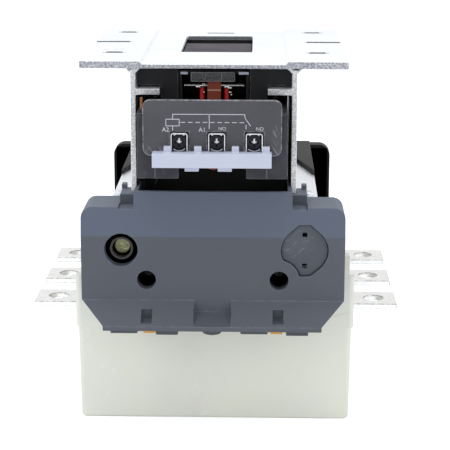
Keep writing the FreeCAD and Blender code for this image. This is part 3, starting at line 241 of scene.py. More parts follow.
# Drag lines are fine lines drawn along Y by a die.
drawn, given, result = new_group("drag_lines", {"Scale": 1600.0, "Depth": 0.00001}, both_outputs)
stretch = put(drawn, "ShaderNodeVectorMath", {0: object_place(drawn), 1: (1.0, 0.012, 1.0)},
              operation="MULTIPLY")
lines = cloud(drawn, stretch.outputs[0], given["Scale"], 4.0, 0.7)
relief = put(drawn, "ShaderNodeBump", {"Height": lines, "Distance": given["Depth"], "Strength": 0.7})
drawn.links.new(relief.outputs[0], result["Normal"])
drawn.links.new(lines, result["Height"])


def place_of(tree):
    """The three coordinates of a place on the piece, in metres."""
    return put(tree, "ShaderNodeSeparateXYZ", {0: object_place(tree)}).outputs


def facing_of(tree):
    """The three parts of the flat face's direction."""
    return put(tree, "ShaderNodeSeparateXYZ",
               {0: put(tree, "ShaderNodeNewGeometry").outputs["True Normal"]}).outputs


def all_of(tree, first, *others):
    """Several factors multiplied."""
    for factor in others:
        first = maths(tree, "MULTIPLY", first, factor)
    return first


def above(tree, value, level):
    """One where a value is over a level."""
    return maths(tree, "GREATER_THAN", value, level)


def under(tree, value, level):
    """One where a value is below a level."""
    return maths(tree, "LESS_THAN", value, level)


def size_of(tree, value):
    """A value without its sign."""
    return maths(tree, "ABSOLUTE", value)


def near_spot(tree, centre, radius, squash=(1.0, 1.0, 1.0)):
    """One at a spot given in millimetres, fading to nought at a radius, squashed along each axis."""
    back = [-value * MM for value in centre]
    away = put(tree, "ShaderNodeVectorMath", {0: object_place(tree), 1: back}, operation="ADD").outputs[0]
    away = put(tree, "ShaderNodeVectorMath", {0: away, 1: squash}, operation="MULTIPLY").outputs[0]
    far = put(tree, "ShaderNodeVectorMath", {0: away}, operation="LENGTH").outputs["Value"]
    return ramp(tree, far, radius * MM, 0.0)


def show(name, mesh, material, body="frame", smooth=32.0):
    """A new piece from a mesh, with its material, riding on a body."""
    mesh.materials.clear()
    mesh.materials.append(material)
    mesh.polygons.foreach_set("use_smooth", [True] * len(mesh.polygons))
    mesh.set_sharp_from_angle(angle=math.radians(smooth))
    piece = bpy.data.objects.new(name, mesh)
    scene.collection.objects.link(piece)
    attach(piece, body)
    return piece


def soften(node, material, width=0.35, turn=25.0, segments=2, top=1.0):
    """A copy of a CAD node with its sharp edges (below a height) rounded and marked, in its place."""
    bm = bmesh.new()
    bm.from_mesh(nodes[node].data)
    bmesh.ops.remove_doubles(bm, verts=bm.verts, dist=2e-6)
    bmesh.ops.dissolve_limit(bm, angle_limit=math.radians(0.4), use_dissolve_boundaries=False,
                             verts=bm.verts,
                             edges=bm.edges)
    mark = bm.faces.layers.float.new("edge")
    sharp = [edge for edge in bm.edges
             if len(edge.link_faces) == 2 and edge.calc_face_angle() > math.radians(turn)
             and max(vertex.co.z for vertex in edge.verts) < top]
    made = bmesh.ops.bevel(bm, geom=sharp, offset=width * MM, offset_type="OFFSET", segments=segments,
                           profile=0.5, affect="EDGES", clamp_overlap=False, material=-1)
    for face in made["faces"]:
        face[mark] = 1.0
    mesh = bpy.data.meshes.new(node + "_finished")
    bm.to_mesh(mesh)
    bm.free()
    piece = show(node + "_finished", mesh, material, nodes[node]["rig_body"])
    piece.modifiers.new("flats", "WEIGHTED_NORMAL").keep_sharp = True
    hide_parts(node)


def dress(node, material):
    """Give a CAD node that stays as it is its material."""
    nodes[node].data.materials.clear()
    nodes[node].data.materials.append(material)


SAWN_NEAR = -0.0715
SAWN_FAR = 0.0798
FLANGE_UNDER = 0.2015
RIB_TOP = 0.1925
WALL_INSIDE = 0.0418
aluminium, tree, output = blank_material("bare_aluminium")
x, y, z = place_of(tree)
nx, ny, nz = facing_of(tree)
lines = use_group(tree, drawn, scale=1500.0, depth=0.000012)
pits = use_group(tree, skin, scale=900.0, depth=0.00006)
mill = blend(tree, use_group(tree, blotches, scale=26.0, low=0.3, high=0.75)[0], (0.84, 0.85, 0.87),
             (0.92, 0.93, 0.94))
mill = blend(tree, maths(tree, "MULTIPLY", lines["Height"], 0.14), mill, (0.66, 0.67, 0.70))
across = above(tree, size_of(tree, ny), 0.9)
# Faces across the length between the sawn ends, such as the walls of the slots, are made darker and less
# metallic.
within = all_of(tree, across, above(tree, y, SAWN_NEAR), under(tree, y, SAWN_FAR))
speckle = ramp(tree, pits["Height"], 0.36, 0.64)
high_up = above(tree, z, FLANGE_UNDER)
grey = blend(tree, high_up, (0.34, 0.34, 0.36), (0.15, 0.155, 0.18))
pale = blend(tree, high_up, (0.68, 0.67, 0.66), (0.54, 0.54, 0.56))
body = blend(tree, across, mill, blend(tree, speckle, grey, pale))
body = blend(tree, within, body, blend(tree, speckle, (0.12, 0.125, 0.13), (0.22, 0.225, 0.23)))
# Painted shade: the inside faces of the walls, down in the channel under the ribs, are made nearly black
# and less metallic.
channel_painted_shade = all_of(tree, under(tree, size_of(tree, x), WALL_INSIDE), under(tree, z, RIB_TOP),
               above(tree, size_of(tree, nx), 0.9))
body = blend(tree, maths(tree, "MULTIPLY", channel_painted_shade, 0.88), body, (0.05, 0.05, 0.055))
edges = use_group(tree, edge_wear_and_highlight, scale=500.0, low=0.25, high=0.6)[0]
body = blend(tree, maths(tree, "MULTIPLY", edges, 0.5), body, (0.82, 0.83, 0.86))
nick = near_spot(tree, (43.8, -72.1, 202.3), 1.6, (0.7, 1.0, 2.6))
body = blend(tree, ramp(tree, nick, 0.1, 0.4), body, (0.03, 0.03, 0.035))
stamp = near_spot(tree, (-58.0, -22.0, 206.4), 9.0, (1.0, 1.9, 1.0))
ring = all_of(tree, ramp(tree, stamp, 0.05, 0.25), ramp(tree, stamp, 0.75, 0.45))
ink = all_of(tree, ring, ramp(tree, cloud(tree, object_place(tree), 260.0, 3.0), 0.5, 0.62))
body = blend(tree, maths(tree, "MULTIPLY", ink, 0.5), body, (0.25, 0.25, 0.26))
bumps = put(tree, "ShaderNodeMix", {0: across, 4: lines["Normal"], 5: pits["Normal"]},
            data_type="VECTOR").outputs[1]
shiny = maths(tree, "SUBTRACT", 0.8, maths(tree, "MULTIPLY", maths(tree, "MAXIMUM", within, channel_painted_shade), 0.6))
shader = put(tree, "ShaderNodeBsdfPrincipled", {"Base Color": body, "Metallic": shiny, "Normal": bumps,
                                                "Roughness": ramp(tree, lines["Height"], 0.3, 0.7, 0.36,
                                                                  0.52)})
tree.links.new(shader.outputs[0], output.inputs["Surface"])
soften("mounting_bracket", aluminium, 0.3)


# Magnet: yoke and armature are stacks of thin steel sheets riveted together. The sheets' edges
# show as fine lines across the stack, with a dark grey purple oxide and traces of varnish.
laminated, tree, output = blank_material("laminated_steel")
sheets = put(tree, "ShaderNodeTexWave", {"Vector": object_place(tree), "Scale": 628.0, "Distortion": 0.6,
                                         "Detail": 2.0,
                                        "Detail Scale": 0.4}, bands_direction="Y").outputs["Fac"]
tone = use_group(tree, blotches, scale=45.0, low=0.35, high=0.7)[0]
bare = blend(tree, tone, (0.055, 0.045, 0.060), (0.105, 0.090, 0.110))
gaps = blend(tree, maths(tree, "MULTIPLY", sheets, 0.75), bare, (0.012, 0.010, 0.014))
relief = put(tree, "ShaderNodeBump", {"Height": sheets, "Distance": 0.00006, "Strength": 0.6})
shader = put(tree, "ShaderNodeBsdfPrincipled", {"Base Color": gaps, "Metallic": 0.35, "Roughness": 0.62,
                                                "Specular IOR Level": 0.25, "Normal": relief.outputs[0]})
tree.links.new(shader.outputs[0], output.inputs["Surface"])
soften("magnet_yoke", laminated, 0.25)
soften("armature", laminated, 0.25)


# Screws, rivets, keys and springs: steel with a bright zinc plating, a little duller in patches.
# The housing's own screws sit deep in their holes and are coloured near black there, as painted shade.
def metal(name, one, other, roughness, edge=(0.9, 0.9, 0.9), edge_wear_and_highlight_mix=0.3, metallic=0.95, grain=900.0,
          depth=0.00001):
    """A plated or bare metal: two tones in patches, a fine grain and its edges in another tone."""
    material, tree, output = blank_material(name)
    tone = use_group(tree, blotches, scale=220.0, low=0.35, high=0.68)[0]
    fine = use_group(tree, skin, scale=grain, depth=depth)
    edges = use_group(tree, edge_wear_and_highlight, scale=600.0, low=0.3, high=0.6)[0]
    body = blend(tree, maths(tree, "MULTIPLY", edges, edge_wear_and_highlight_mix), blend(tree, tone, one, other), edge)
    rough = ramp(tree, fine["Height"], 0.3, 0.7, roughness - 0.06, roughness + 0.08)
    shader = put(tree, "ShaderNodeBsdfPrincipled",
                 {"Base Color": body, "Metallic": metallic, "Roughness": rough,
                                                    "Normal": fine["Normal"]})
    tree.links.new(shader.outputs[0], output.inputs["Surface"])
    return material


zinc = metal("plated_steel", (0.62, 0.63, 0.66), (0.80, 0.81, 0.83), 0.28)
black_steel_and_shade = metal("black_steel_and_painted_shade", (0.03, 0.03, 0.033), (0.06, 0.06, 0.065), 0.4, (0.2, 0.2, 0.2), 0.4)
for node in ("foot_screws", "yoke_rivets", "armature_rivets", "yoke_keys", "chamber_screws"):
    soften(node, zinc, 0.12)
# Painted shade: the housing's screws take the near black steel for the shade deep in their holes.
soften("housing_screws", black_steel_and_shade, 0.12)
for node in ("return_spring_near", "return_spring_far", "contact_spring_1", "contact_spring_2",
             "contact_spring_3"):
    dress(node, zinc)


# Coil block: a black moulding round the coil's near end. Its face is charcoal grey with pale scratches, and
# behind the face the same moulding is painted a deeper black as painted shade. A thin groove runs down each
# foot.
def plastic(name, dark, light, roughness, wear_and_highlight_colour, gloss=0.35, grain=2400.0, depth=0.00002, edge_wear_and_highlight_level=0.5,
            blotch=34.0,
            edge_scale=260.0, tone_over=None):
    """A moulded plastic: a fine grain, slow changes of tone, and paler edges, partly rubbed and partly a
    painted highlight.
    """
    material, tree, output = blank_material(name)
    fine = use_group(tree, skin, scale=grain, depth=depth)
    body = blend(tree, use_group(tree, blotches, scale=blotch, low=0.3, high=0.75)[0], dark, light)
    if tone_over:
        body = tone_over(tree, body)
    body = blend(tree, maths(tree, "MULTIPLY", fine["Height"], 0.08), body, wear_and_highlight_colour)
    edges = use_group(tree, edge_wear_and_highlight, scale=edge_scale, low=0.35, high=0.7)[0]
    body = blend(tree, maths(tree, "MULTIPLY", edges, edge_wear_and_highlight_level), body, wear_and_highlight_colour)
    rough = ramp(tree, fine["Height"], 0.3, 0.7, roughness - 0.07, roughness + 0.09)
    shader = put(tree, "ShaderNodeBsdfPrincipled",
                 {"Base Color": body, "Roughness": rough, "Specular IOR Level": gloss,
                                                    "Normal": fine["Normal"]})
    tree.links.new(shader.outputs[0], output.inputs["Surface"])
    return material


def scratches(tree, scale, turn, low, high):
    """Fine straight scratches over the faces that look to the front, turned by some degrees."""
    turned = put(tree, "ShaderNodeMapping", {"Vector": object_place(tree),
                                             "Rotation": (0, math.radians(turn), 0)})
    long = put(tree, "ShaderNodeVectorMath", {0: turned.outputs[0], 1: (1.0, 1.0, 0.10)},
               operation="MULTIPLY")
    return ramp(tree, cloud(tree, long.outputs[0], scale, 4.0, 0.75), low, high)


COIL_FACE = -0.0945


def coil_tone(tree, body):
    """Charcoal on the face, with scratches and a groove down each foot, and deep black behind it as painted
    shade.
    """
    x, y, z = place_of(tree)
    patches = use_group(tree, blotches, scale=120.0, low=0.4, high=0.65)[0]
    face = blend(tree, patches, (0.032, 0.032, 0.037), (0.050, 0.050, 0.056))
    light = all_of(tree, scratches(tree, 520.0, 20.0, 0.60, 0.72), patches, 0.5)
    face = blend(tree, light, face, (0.22, 0.22, 0.23))
    for centre in (-0.0299, 0.0284):
        away = size_of(tree, maths(tree, "SUBTRACT", x, centre))
        groove = all_of(tree, ramp(tree, away, 0.45 * MM, 0.15 * MM), under(tree, z, 0.1595), 0.6)
        face = blend(tree, groove, face, (0.16, 0.16, 0.17))
    # Painted shade: everything behind the face is given the deeper black of the shaded inside.
    return blend(tree, under(tree, y, COIL_FACE), body, face)


jet = ((0.004, 0.004, 0.0045), (0.008, 0.008, 0.009))
coil_black = plastic("coil_plastic", *jet, 0.5, (0.17, 0.17, 0.18), 0.16, edge_wear_and_highlight_level=0.55, tone_over=coil_tone)
inner_black = plastic("inner_black_plastic", *jet, 0.5, (0.05, 0.05, 0.055), 0.2)
soften("coil_block", coil_black, 0.4)
soften("coil_bobbin", inner_black, 0.3)
soften("switch_frame", inner_black, 0.25)


# Coil winding: enamelled copper wire, wound in layers that show as fine ridges and darkened by
# varnish. Its tail comes up beside the label plate.
winding, tree, output = blank_material("wound_copper")
turns = put(tree, "ShaderNodeTexWave", {"Vector": object_place(tree), "Scale": 390.0, "Distortion": 0.5},
            bands_direction="Z").outputs["Fac"]
relief = put(tree, "ShaderNodeBump", {"Height": turns, "Distance": 0.0003, "Strength": 0.8})
shader = put(tree, "ShaderNodeBsdfPrincipled",
             {"Base Color": blend(tree, turns, (0.006, 0.003, 0.002), (0.040, 0.016, 0.008)),
                                                "Metallic": 0.3, "Roughness": 0.4,
              "Normal": relief.outputs[0]})
tree.links.new(shader.outputs[0], output.inputs["Surface"])
dress("coil_winding", winding)
wire_enamel = metal("enamelled_wire", (0.16, 0.05, 0.010), (0.34, 0.13, 0.03), 0.35, metallic=0.5)


def rod(bm, start, end, radius, segments=14):
    """Add a closed round rod between two places, in millimetres."""
    start, end = Vector(start) * MM, Vector(end) * MM
    turn = (end - start).to_track_quat("Z", "Y").to_matrix().to_4x4()
    bmesh.ops.create_cone(bm, cap_ends=True, segments=segments, radius1=radius * MM, radius2=radius * MM,
                          depth=(end - start).length, matrix=Matrix.Translation((start + end) / 2) @ turn)


def finished_mesh(name, bm, width=0.0, segments=2):
    """Turn a bmesh into a mesh with outward normals, its sharp edges rounded if a width is given."""
    bmesh.ops.recalc_face_normals(bm, faces=bm.faces)
    mark = bm.faces.layers.float.new("edge")
    if width:
        sharp = [edge for edge in bm.edges if edge.calc_face_angle(0.0) > math.radians(30)]
        made = bmesh.ops.bevel(bm, geom=sharp, offset=width * MM, offset_type="OFFSET", segments=segments,
                               profile=0.5, affect="EDGES", clamp_overlap=True, material=-1)
        for face in made["faces"]:
            face[mark] = 1.0
    mesh = bpy.data.meshes.new(name)
    bm.to_mesh(mesh)
    bm.free()
    return mesh


bm = bmesh.new()
rod(bm, (-37.7, -82.0, 182.3), (-37.9, -80.0, 188.4), 0.75)
show("coil_tail", finished_mesh("coil_tail", bm, 0.1), wire_enamel)


# Coil label plate: dark grey moulding with small scuffs and a bright rim, partly worn and partly a painted
# highlight. The printed white wiring symbol shows the coil, its two terminals and the economy contact that
# it drives.
def label_tone(tree, body):
    """Scattered specks, and scuffs near the right end and the lower left corner."""
    flecks = ramp(tree, cloud(tree, object_place(tree), 700.0, 2.0), 0.70, 0.76)
    body = blend(tree, maths(tree, "MULTIPLY", flecks, 0.5), body, (0.26, 0.26, 0.28))
    for centre, reach, squash in (((33.6, -98.4, 171.0), 7.0, (2.0, 1.0, 1.0)),
                                  ((33.0, -98.4, 164.2), 4.5, (1.4, 1.0, 1.2)),
                                  ((-30.0, -98.4, 163.0), 6.0, (1.0, 1.0, 1.6))):
        rubs = all_of(tree, near_spot(tree, centre, reach, squash),
                      scratches(tree, 700.0, 25.0, 0.50, 0.62))
        body = blend(tree, rubs, body, (0.40, 0.40, 0.42))
    return body


label_grey = plastic("label_plastic", (0.056, 0.055, 0.060), (0.076, 0.074, 0.082), 0.55,
                     (0.36, 0.34, 0.36), 0.22,
                     grain=1700.0, depth=0.00003, edge_wear_and_highlight_level=1.0, blotch=48.0, edge_scale=420.0,
                     tone_over=label_tone)
soften("coil_label_plate", label_grey, 0.5)
white_ink = plastic("white_ink", (0.46, 0.46, 0.48), (0.66, 0.66, 0.68), 0.6, (0.8, 0.8, 0.8), edge_wear_and_highlight_level=0.0,
                    blotch=900.0)
LABEL_FACE = -98.4
INK = 0.05


def box(bm, low, high):
    """Add a closed box between two corners, in millimetres."""
    low, high = Vector(low) * MM, Vector(high) * MM
    size = Matrix.Diagonal((high - low).to_4d())
    bmesh.ops.create_cube(bm, size=1.0, matrix=Matrix.Translation((low + high) / 2) @ size)


def stroke(bm, start, end, width=0.36):
    """Add a printed line between two places (x, z) on the label's face."""
    run = Vector((end[0] - start[0], 0, end[1] - start[1]))
    middle = Vector(((start[0] + end[0]) / 2, LABEL_FACE, (start[1] + end[1]) / 2)) * MM
    turn = Matrix.Rotation(-math.atan2(run.z, run.x), 4, "Y")
    size = Matrix.Diagonal((run.length * MM, 2 * INK * MM, width * MM, 1.0))
    bmesh.ops.create_cube(bm, size=1.0, matrix=Matrix.Translation(middle) @ turn @ size)


bm = bmesh.new()
for start, end in (((-23.9, 180.0), (-17.0, 180.0)), ((-23.9, 176.5), (-17.0, 176.5)),
                   ((-23.9, 180.18), (-23.9, 176.32)),
                   ((-17.0, 180.18), (-17.0, 176.32)), ((-20.4, 182.5), (-20.4, 180.1)),
                   ((-20.4, 176.4), (-20.4, 173.9)),
                   ((-20.6, 182.6), (16.9, 182.6)), ((-1.5, 182.6), (-1.5, 175.0)),
                   ((16.75, 182.6), (17.1, 180.5)),
                   ((17.05, 180.6), (19.9, 176.6)), ((17.5, 177.2), (17.5, 174.9))):
    stroke(bm, start, end)
for dash in range(9):
    stroke(bm, (-16.3 + 3.8 * dash, 178.4), (-13.9 + 3.8 * dash, 178.4))
show("wiring_symbol", finished_mesh("wiring_symbol", bm), white_ink)


def words(name, text, size, left, base):
    """Printed letters on the label plate, made a mesh before they are placed."""
    curve = bpy.data.curves.new(name, "FONT")
    curve.body = text
    curve.size = size
    curve.extrude = INK
    source = bpy.data.objects.new(name, curve)
    mesh = bpy.data.meshes.new_from_object(source)
    bpy.data.objects.remove(source)
    upright = Matrix.Rotation(math.radians(90), 4, "X") @ Matrix.Scale(MM, 4)
    mesh.transform(Matrix.Translation(Vector((left, LABEL_FACE, base)) * MM) @ upright)
    show(name, mesh, white_ink)


words("mark_a2", "A2", 3.2, -26.0, 173.5)
words("mark_a1", "A1", 3.2, -7.0, 173.5)
words("mark_open_left", "NO", 2.5, 3.2, 174.3)
words("mark_open_right", "NO", 2.5, 22.6, 174.3)


# Terminal strip: a pale lavender moulding across the terminals, with tabs above and below.
lavender = plastic("pale_plastic", (0.505, 0.525, 0.62), (0.545, 0.565, 0.66), 0.5, (0.80, 0.82, 0.90),
                   0.3, grain=1500.0,
                   edge_wear_and_highlight_level=0.35)
soften("terminal_strip", lavender, 0.25)


# Coil terminals: in each pocket a plate, a spring washer and a pan-head screw, under a bent plated clamp
# whose rim catches the light, with a painted highlight on its rounded edges. The plate is painted near
# black as painted shade, the screw head is painted near black as a painted reflection of the dark pocket,
# and a painted glint sits in its cross recess.
# Painted shade: the plates are coloured near black for the shade in their pockets.
plating_painted_shade = metal("shaded_plating", (0.010, 0.010, 0.013), (0.022, 0.022, 0.028), 0.5, (0.05, 0.05, 0.055),
                  0.5, 0.5)
soften("coil_terminal_plates", plating_painted_shade, 0.15)

TERMINALS = (-17.0, 2.4, 21.8)
RECESS_TOP = -0.1006
RECESS_FLOOR = -0.0990
screw_steel, tree, output = blank_material("terminal_screw_steel")
x, y, z = place_of(tree)
middle = 0.0
for centre in TERMINALS:
    middle = maths(tree, "ADD", middle, near_spot(tree, (centre, -99.5, 169.0), 2.0))
# Painted glint: a bright spot at the middle of each screw head, in its cross recess.
painted_recess_glint = all_of(tree, ramp(tree, y, RECESS_TOP, RECESS_TOP + 0.4 * MM), under(tree, y, RECESS_FLOOR),
                ramp(tree, middle, 0.2, 0.5))
fine = use_group(tree, skin, scale=1200.0, depth=0.00002)
# Painted reflection: the rest of each screw head is near black, for the dark that its pocket shows in it.
body = blend(tree, painted_recess_glint, (0.014, 0.014, 0.018), (0.80, 0.80, 0.84))
shader = put(tree, "ShaderNodeBsdfPrincipled", {"Base Color": body, "Metallic": 0.5, "Roughness": 0.42,
                                                "Specular IOR Level": 0.2, "Normal": fine["Normal"]})
tree.links.new(shader.outputs[0], output.inputs["Surface"])
soften("coil_terminal_screws", screw_steel, 0.12)


def bent_strip(bm, points, thick, front, back):
    """Add a sheet of one thickness bent through a line of (x, z) places, from front to back."""
    line = [bm.verts.new(Vector((x, front, z)) * MM) for x, z in points]
    chain = [bm.edges.new(pair) for pair in zip(line, line[1:])]
    swept = bmesh.ops.extrude_edge_only(bm, edges=chain)["geom"]
    far = [part for part in swept if isinstance(part, bmesh.types.BMVert)]
    faces = [part for part in swept if isinstance(part, bmesh.types.BMFace)]
    bmesh.ops.translate(bm, verts=far, vec=(0, (back - front) * MM, 0))
    bmesh.ops.recalc_face_normals(bm, faces=faces)
    bmesh.ops.solidify(bm, geom=faces, thickness=thick * MM)


def arc(centre, radius, start, end, steps):
    """Places (x, z) along a round stretch, from one angle to another in degrees."""
    turns = [math.radians(start + (end - start) * i / steps) for i in range(steps + 1)]
    return [(centre[0] + radius * math.cos(turn), centre[1] + radius * math.sin(turn)) for turn in turns]


clamp_steel = metal("clamp_steel", (0.50, 0.51, 0.53), (0.72, 0.73, 0.75), 0.3)
clamps = bmesh.new()
washers = bmesh.new()
for centre in TERMINALS:
    left = [(centre - 4.35, 163.6)] + arc((centre - 3.15, 171.8), 1.2, 180, 90, 4)
    bent_strip(clamps, left + [(2 * centre - x, z) for x, z in reversed(left)], 0.5, -100.9, -97.9)
    bent_strip(washers, arc((centre, 168.5), 4.5, 50, 130, 8), 0.4, -100.4, -97.9)
    bent_strip(washers, arc((centre, 168.5), 4.5, 230, 310, 8), 0.4, -100.4, -97.9)
show("terminal_clamps", finished_mesh("terminal_clamps", clamps, 0.08, 1), clamp_steel)
show("terminal_washers", finished_mesh("terminal_washers", washers, 0.08, 1), zinc)


# Over the yoke: its thicker middle packet reaches up into the bracket's window. Behind it a black strip
# stands on the ribs across the bracket, a dark sheet put there as painted shade for the dark gap beyond the
# packet.
bm = bmesh.new()
box(bm, (-19.4, -19.5, 198.8), (19.4, 35.4, 202.8))
show("yoke_packet", finished_mesh("yoke_packet", bm, 0.2), laminated)
bm = bmesh.new()
# Painted shade: a black sheet closing the gap beyond the packet, where there is only shade.
box(bm, (-41.4, 56.2, 191.9), (41.4, 57.6, 202.3))
show("painted_shade_strip", finished_mesh("painted_shade_strip", bm, 0.2), inner_black)


# Red-brown plug: the rounded end of a moulded pin, pushed up into the block between its feet.
rust = plastic("red_brown_plastic", (0.17, 0.032, 0.016), (0.22, 0.046, 0.026), 0.5, (0.36, 0.12, 0.08),
               0.25)
bm = bmesh.new()
bmesh.ops.create_uvsphere(bm, u_segments=24, v_segments=12, radius=3.2 * MM,
                          matrix=Matrix.Translation(Vector((0.1, -87.0, 154.2)) * MM))
rod(bm, (0.1, -87.0, 154.2), (0.1, -87.0, 158.4), 2.4, 20)
show("block_plug", finished_mesh("block_plug", bm), rust)


# Stay wire: a thin steel wire from the block's left foot down to the top of the base frame.
bm = bmesh.new()
rod(bm, (-28.8, -86.0, 148.4), (-35.4, -58.4, 124.8), 0.6)
show("stay_wire", finished_mesh("stay_wire", bm, 0.1), black_steel_and_shade)


# Economy switch: a red-brown core with a silvered blade on each side, soldered leads in red
# sleeves, and a clear dust cover over the front, with a pale tag on each side of it.
def core_tone(tree, body):
    """A pale line across the core, where its two halves meet."""
    x, y, z = place_of(tree)
    line = ramp(tree, size_of(tree, maths(tree, "SUBTRACT", z, 0.1900)), 0.45 * MM, 0.2 * MM, 0.0, 0.7)
    return blend(tree, line, body, (0.62, 0.42, 0.36))


core_rust = plastic("switch_core_plastic", (0.19, 0.034, 0.014), (0.24, 0.048, 0.022), 0.5,
                    (0.36, 0.12, 0.08), 0.25,
                    tone_over=core_tone)
soften("switch_core", core_rust, 0.25)
leaf_silver = metal("contact_leaf", (0.62, 0.61, 0.58), (0.86, 0.85, 0.82), 0.28)
soften("switch_leaves", leaf_silver, 0.12)
sleeve_red = plastic("red_sleeve", (0.50, 0.010, 0.010), (0.62, 0.018, 0.016), 0.38, (0.75, 0.12, 0.10),
                     0.4)
soften("switch_leads", sleeve_red, 0.15)

clear, tree, output = blank_material("clear_plastic")
haze = cloud(tree, object_place(tree), 240.0)
tint = blend(tree, haze, (0.30, 0.31, 0.32), (0.42, 0.43, 0.44))
shader = put(tree, "ShaderNodeBsdfPrincipled",
             {"Base Color": tint, "Roughness": ramp(tree, haze, 0.0, 1.0, 0.10, 0.30),
                                                "Transmission Weight": 0.9, "IOR": 1.35,
              "Specular IOR Level": 0.3})
tree.links.new(shader.outputs[0], output.inputs["Surface"])
bm = bmesh.new()
box(bm, (-12.3, -66.1, 195.0), (11.0, -65.5, 199.9))
box(bm, (-12.3, -65.5, 199.3), (11.0, -64.6, 199.9))
show("switch_window", finished_mesh("switch_window", bm, 0.15, 1), clear)

rib_grey = plastic("cover_rib_plastic", (0.13, 0.13, 0.135), (0.30, 0.30, 0.31), 0.4, (0.5, 0.5, 0.5),
                   blotch=300.0)
bm = bmesh.new()
for left in (-12.4, -4.9, 3.8, 10.8):
    box(bm, (left, -66.35, 195.0), (left + 0.28, -66.05, 199.9))
for base in (194.9, 199.6):
    box(bm, (-12.4, -66.35, base), (11.08, -66.05, base + 0.3))
show("switch_window_ribs", finished_mesh("switch_window_ribs", bm), rib_grey)

bm = bmesh.new()
for left, right in ((-17.9, -14.0), (13.1, 18.6)):
    box(bm, (left, -65.1, 198.5), (right, -64.4, 199.9))
show("switch_tags", finished_mesh("switch_tags", bm, 0.15, 1), lavender)

solder = metal("solder", (0.55, 0.56, 0.58), (0.80, 0.81, 0.82), 0.24, grain=700.0, depth=0.00008)
bm = bmesh.new()
for x, z, size in ((-8.6, 191.6, 1.3), (-6.9, 192.2, 1.2), (-5.6, 193.0, 0.8), (6.6, 191.6, 1.3),
                   (8.4, 191.0, 1.1),
                   (5.2, 192.6, 0.8), (-5.4, 188.6, 0.6), (8.6, 188.6, 0.8), (9.2, 187.3, 0.6)):
    matrix = Matrix.Translation(Vector((x, -62.6, z)) * MM) @ Matrix.Diagonal((1.25, 1.0, 0.75, 1.0))
    lump = bmesh.ops.create_icosphere(bm, subdivisions=2, radius=size * MM, matrix=matrix)
    for vertex in lump["verts"]:
        vertex.co.z += 0.14 * size * MM * math.sin(vertex.co.x * 3100 + size) * math.cos(vertex.co.y * 2700)
show("solder_joints", finished_mesh("solder_joints", bm), solder, smooth=60.0)


# Side housing: a grey moulded cover with a fine spark-eroded texture. Faces that lean back are painted
# bluer and its upward tops paler, as painted light from above; below the lip it is darker, and its edges
# are a little paler, partly rubbed and partly a painted highlight.
# The screws' sleeves in it are given the frame's deep black as painted shade, so their holes show dark.
def housing_tone(tree, body):
    """Painted bluer light where a face leans back and a painted paler top where it looks up, and darker
    below the lip.
    """
    x, y, z = place_of(tree)
    nx, ny, nz = facing_of(tree)
    # Painted light: faces that lean back are coloured bluer, as if lit by bluish light from above.
    leans_back_painted_light = all_of(tree, ramp(tree, nz, 0.02, 0.12), above(tree, z, 0.1))
    body = blend(tree, leans_back_painted_light, body, (0.098, 0.113, 0.152))
    # Painted light: tops that look up, above the lip, are coloured paler.
    body = blend(tree, all_of(tree, ramp(tree, nz, 0.5, 0.9), above(tree, z, 0.125)), body,
                 (0.135, 0.155, 0.185))
    # Darker below the lip, over the lower tabs, on the front part of the housing.
    low = all_of(tree, ramp(tree, z, 0.0672, 0.0666), under(tree, y, -0.098), 0.8)
    return blend(tree, low, body, (0.036, 0.037, 0.037))


panel_grey = plastic("grey_plastic", (0.076, 0.083, 0.098), (0.085, 0.092, 0.108), 0.58,
                     (0.20, 0.22, 0.26), 0.3,
                     grain=2000.0, depth=0.00003, edge_wear_and_highlight_level=0.4, blotch=20.0, tone_over=housing_tone)
soften("side_housing", panel_grey, 0.4)
# Painted shade: the screws' sleeves are deep black for the shade in their holes.
soften("screw_bosses", inner_black, 0.3)


# Knock-out cover: the same grey moulding a little below the face, scuffed pale across its middle.
def cover_tone(tree, body):
    """Diagonal scratches left of the middle, on a slightly paler patch."""
    patch = near_spot(tree, (45.0, -87.5, 111.5), 11.0, (0.9, 1.0, 1.3))
    rubs = all_of(tree, ramp(tree, patch, 0.0, 0.45), scratches(tree, 1500.0, -58.0, 0.56, 0.70), 0.7)
    body = blend(tree, rubs, body, (0.34, 0.35, 0.38))
    return blend(tree, ramp(tree, patch, 0.1, 0.9, 0.0, 0.12), body, (0.17, 0.18, 0.20))


scuffed = plastic("scuffed_grey_plastic", (0.066, 0.072, 0.086), (0.078, 0.084, 0.099), 0.58,
                  (0.17, 0.18, 0.21), 0.3,
                  grain=2000.0, depth=0.00003, edge_wear_and_highlight_level=0.4, blotch=60.0, tone_over=cover_tone)
soften("knockout_cover", scuffed, 0.25)


# Interlock studs: steel rods with a yellow passivation, cut square and rough on the end.
brass, tree, output = blank_material("passivated_brass")
pits = use_group(tree, skin, scale=1400.0, depth=0.00008)
body = blend(tree, ramp(tree, pits["Height"], 0.36, 0.60), (0.10, 0.10, 0.04), (0.40, 0.40, 0.21))
body = blend(tree, ramp(tree, cloud(tree, object_place(tree), 900.0, 2.0), 0.60, 0.68), body,
             (0.62, 0.60, 0.38))
shader = put(tree, "ShaderNodeBsdfPrincipled", {"Base Color": body, "Metallic": 0.4, "Roughness": 0.5,
                                                "Normal": pits["Normal"]})
tree.links.new(shader.outputs[0], output.inputs["Surface"])
soften("interlock_studs", brass, 0.4)


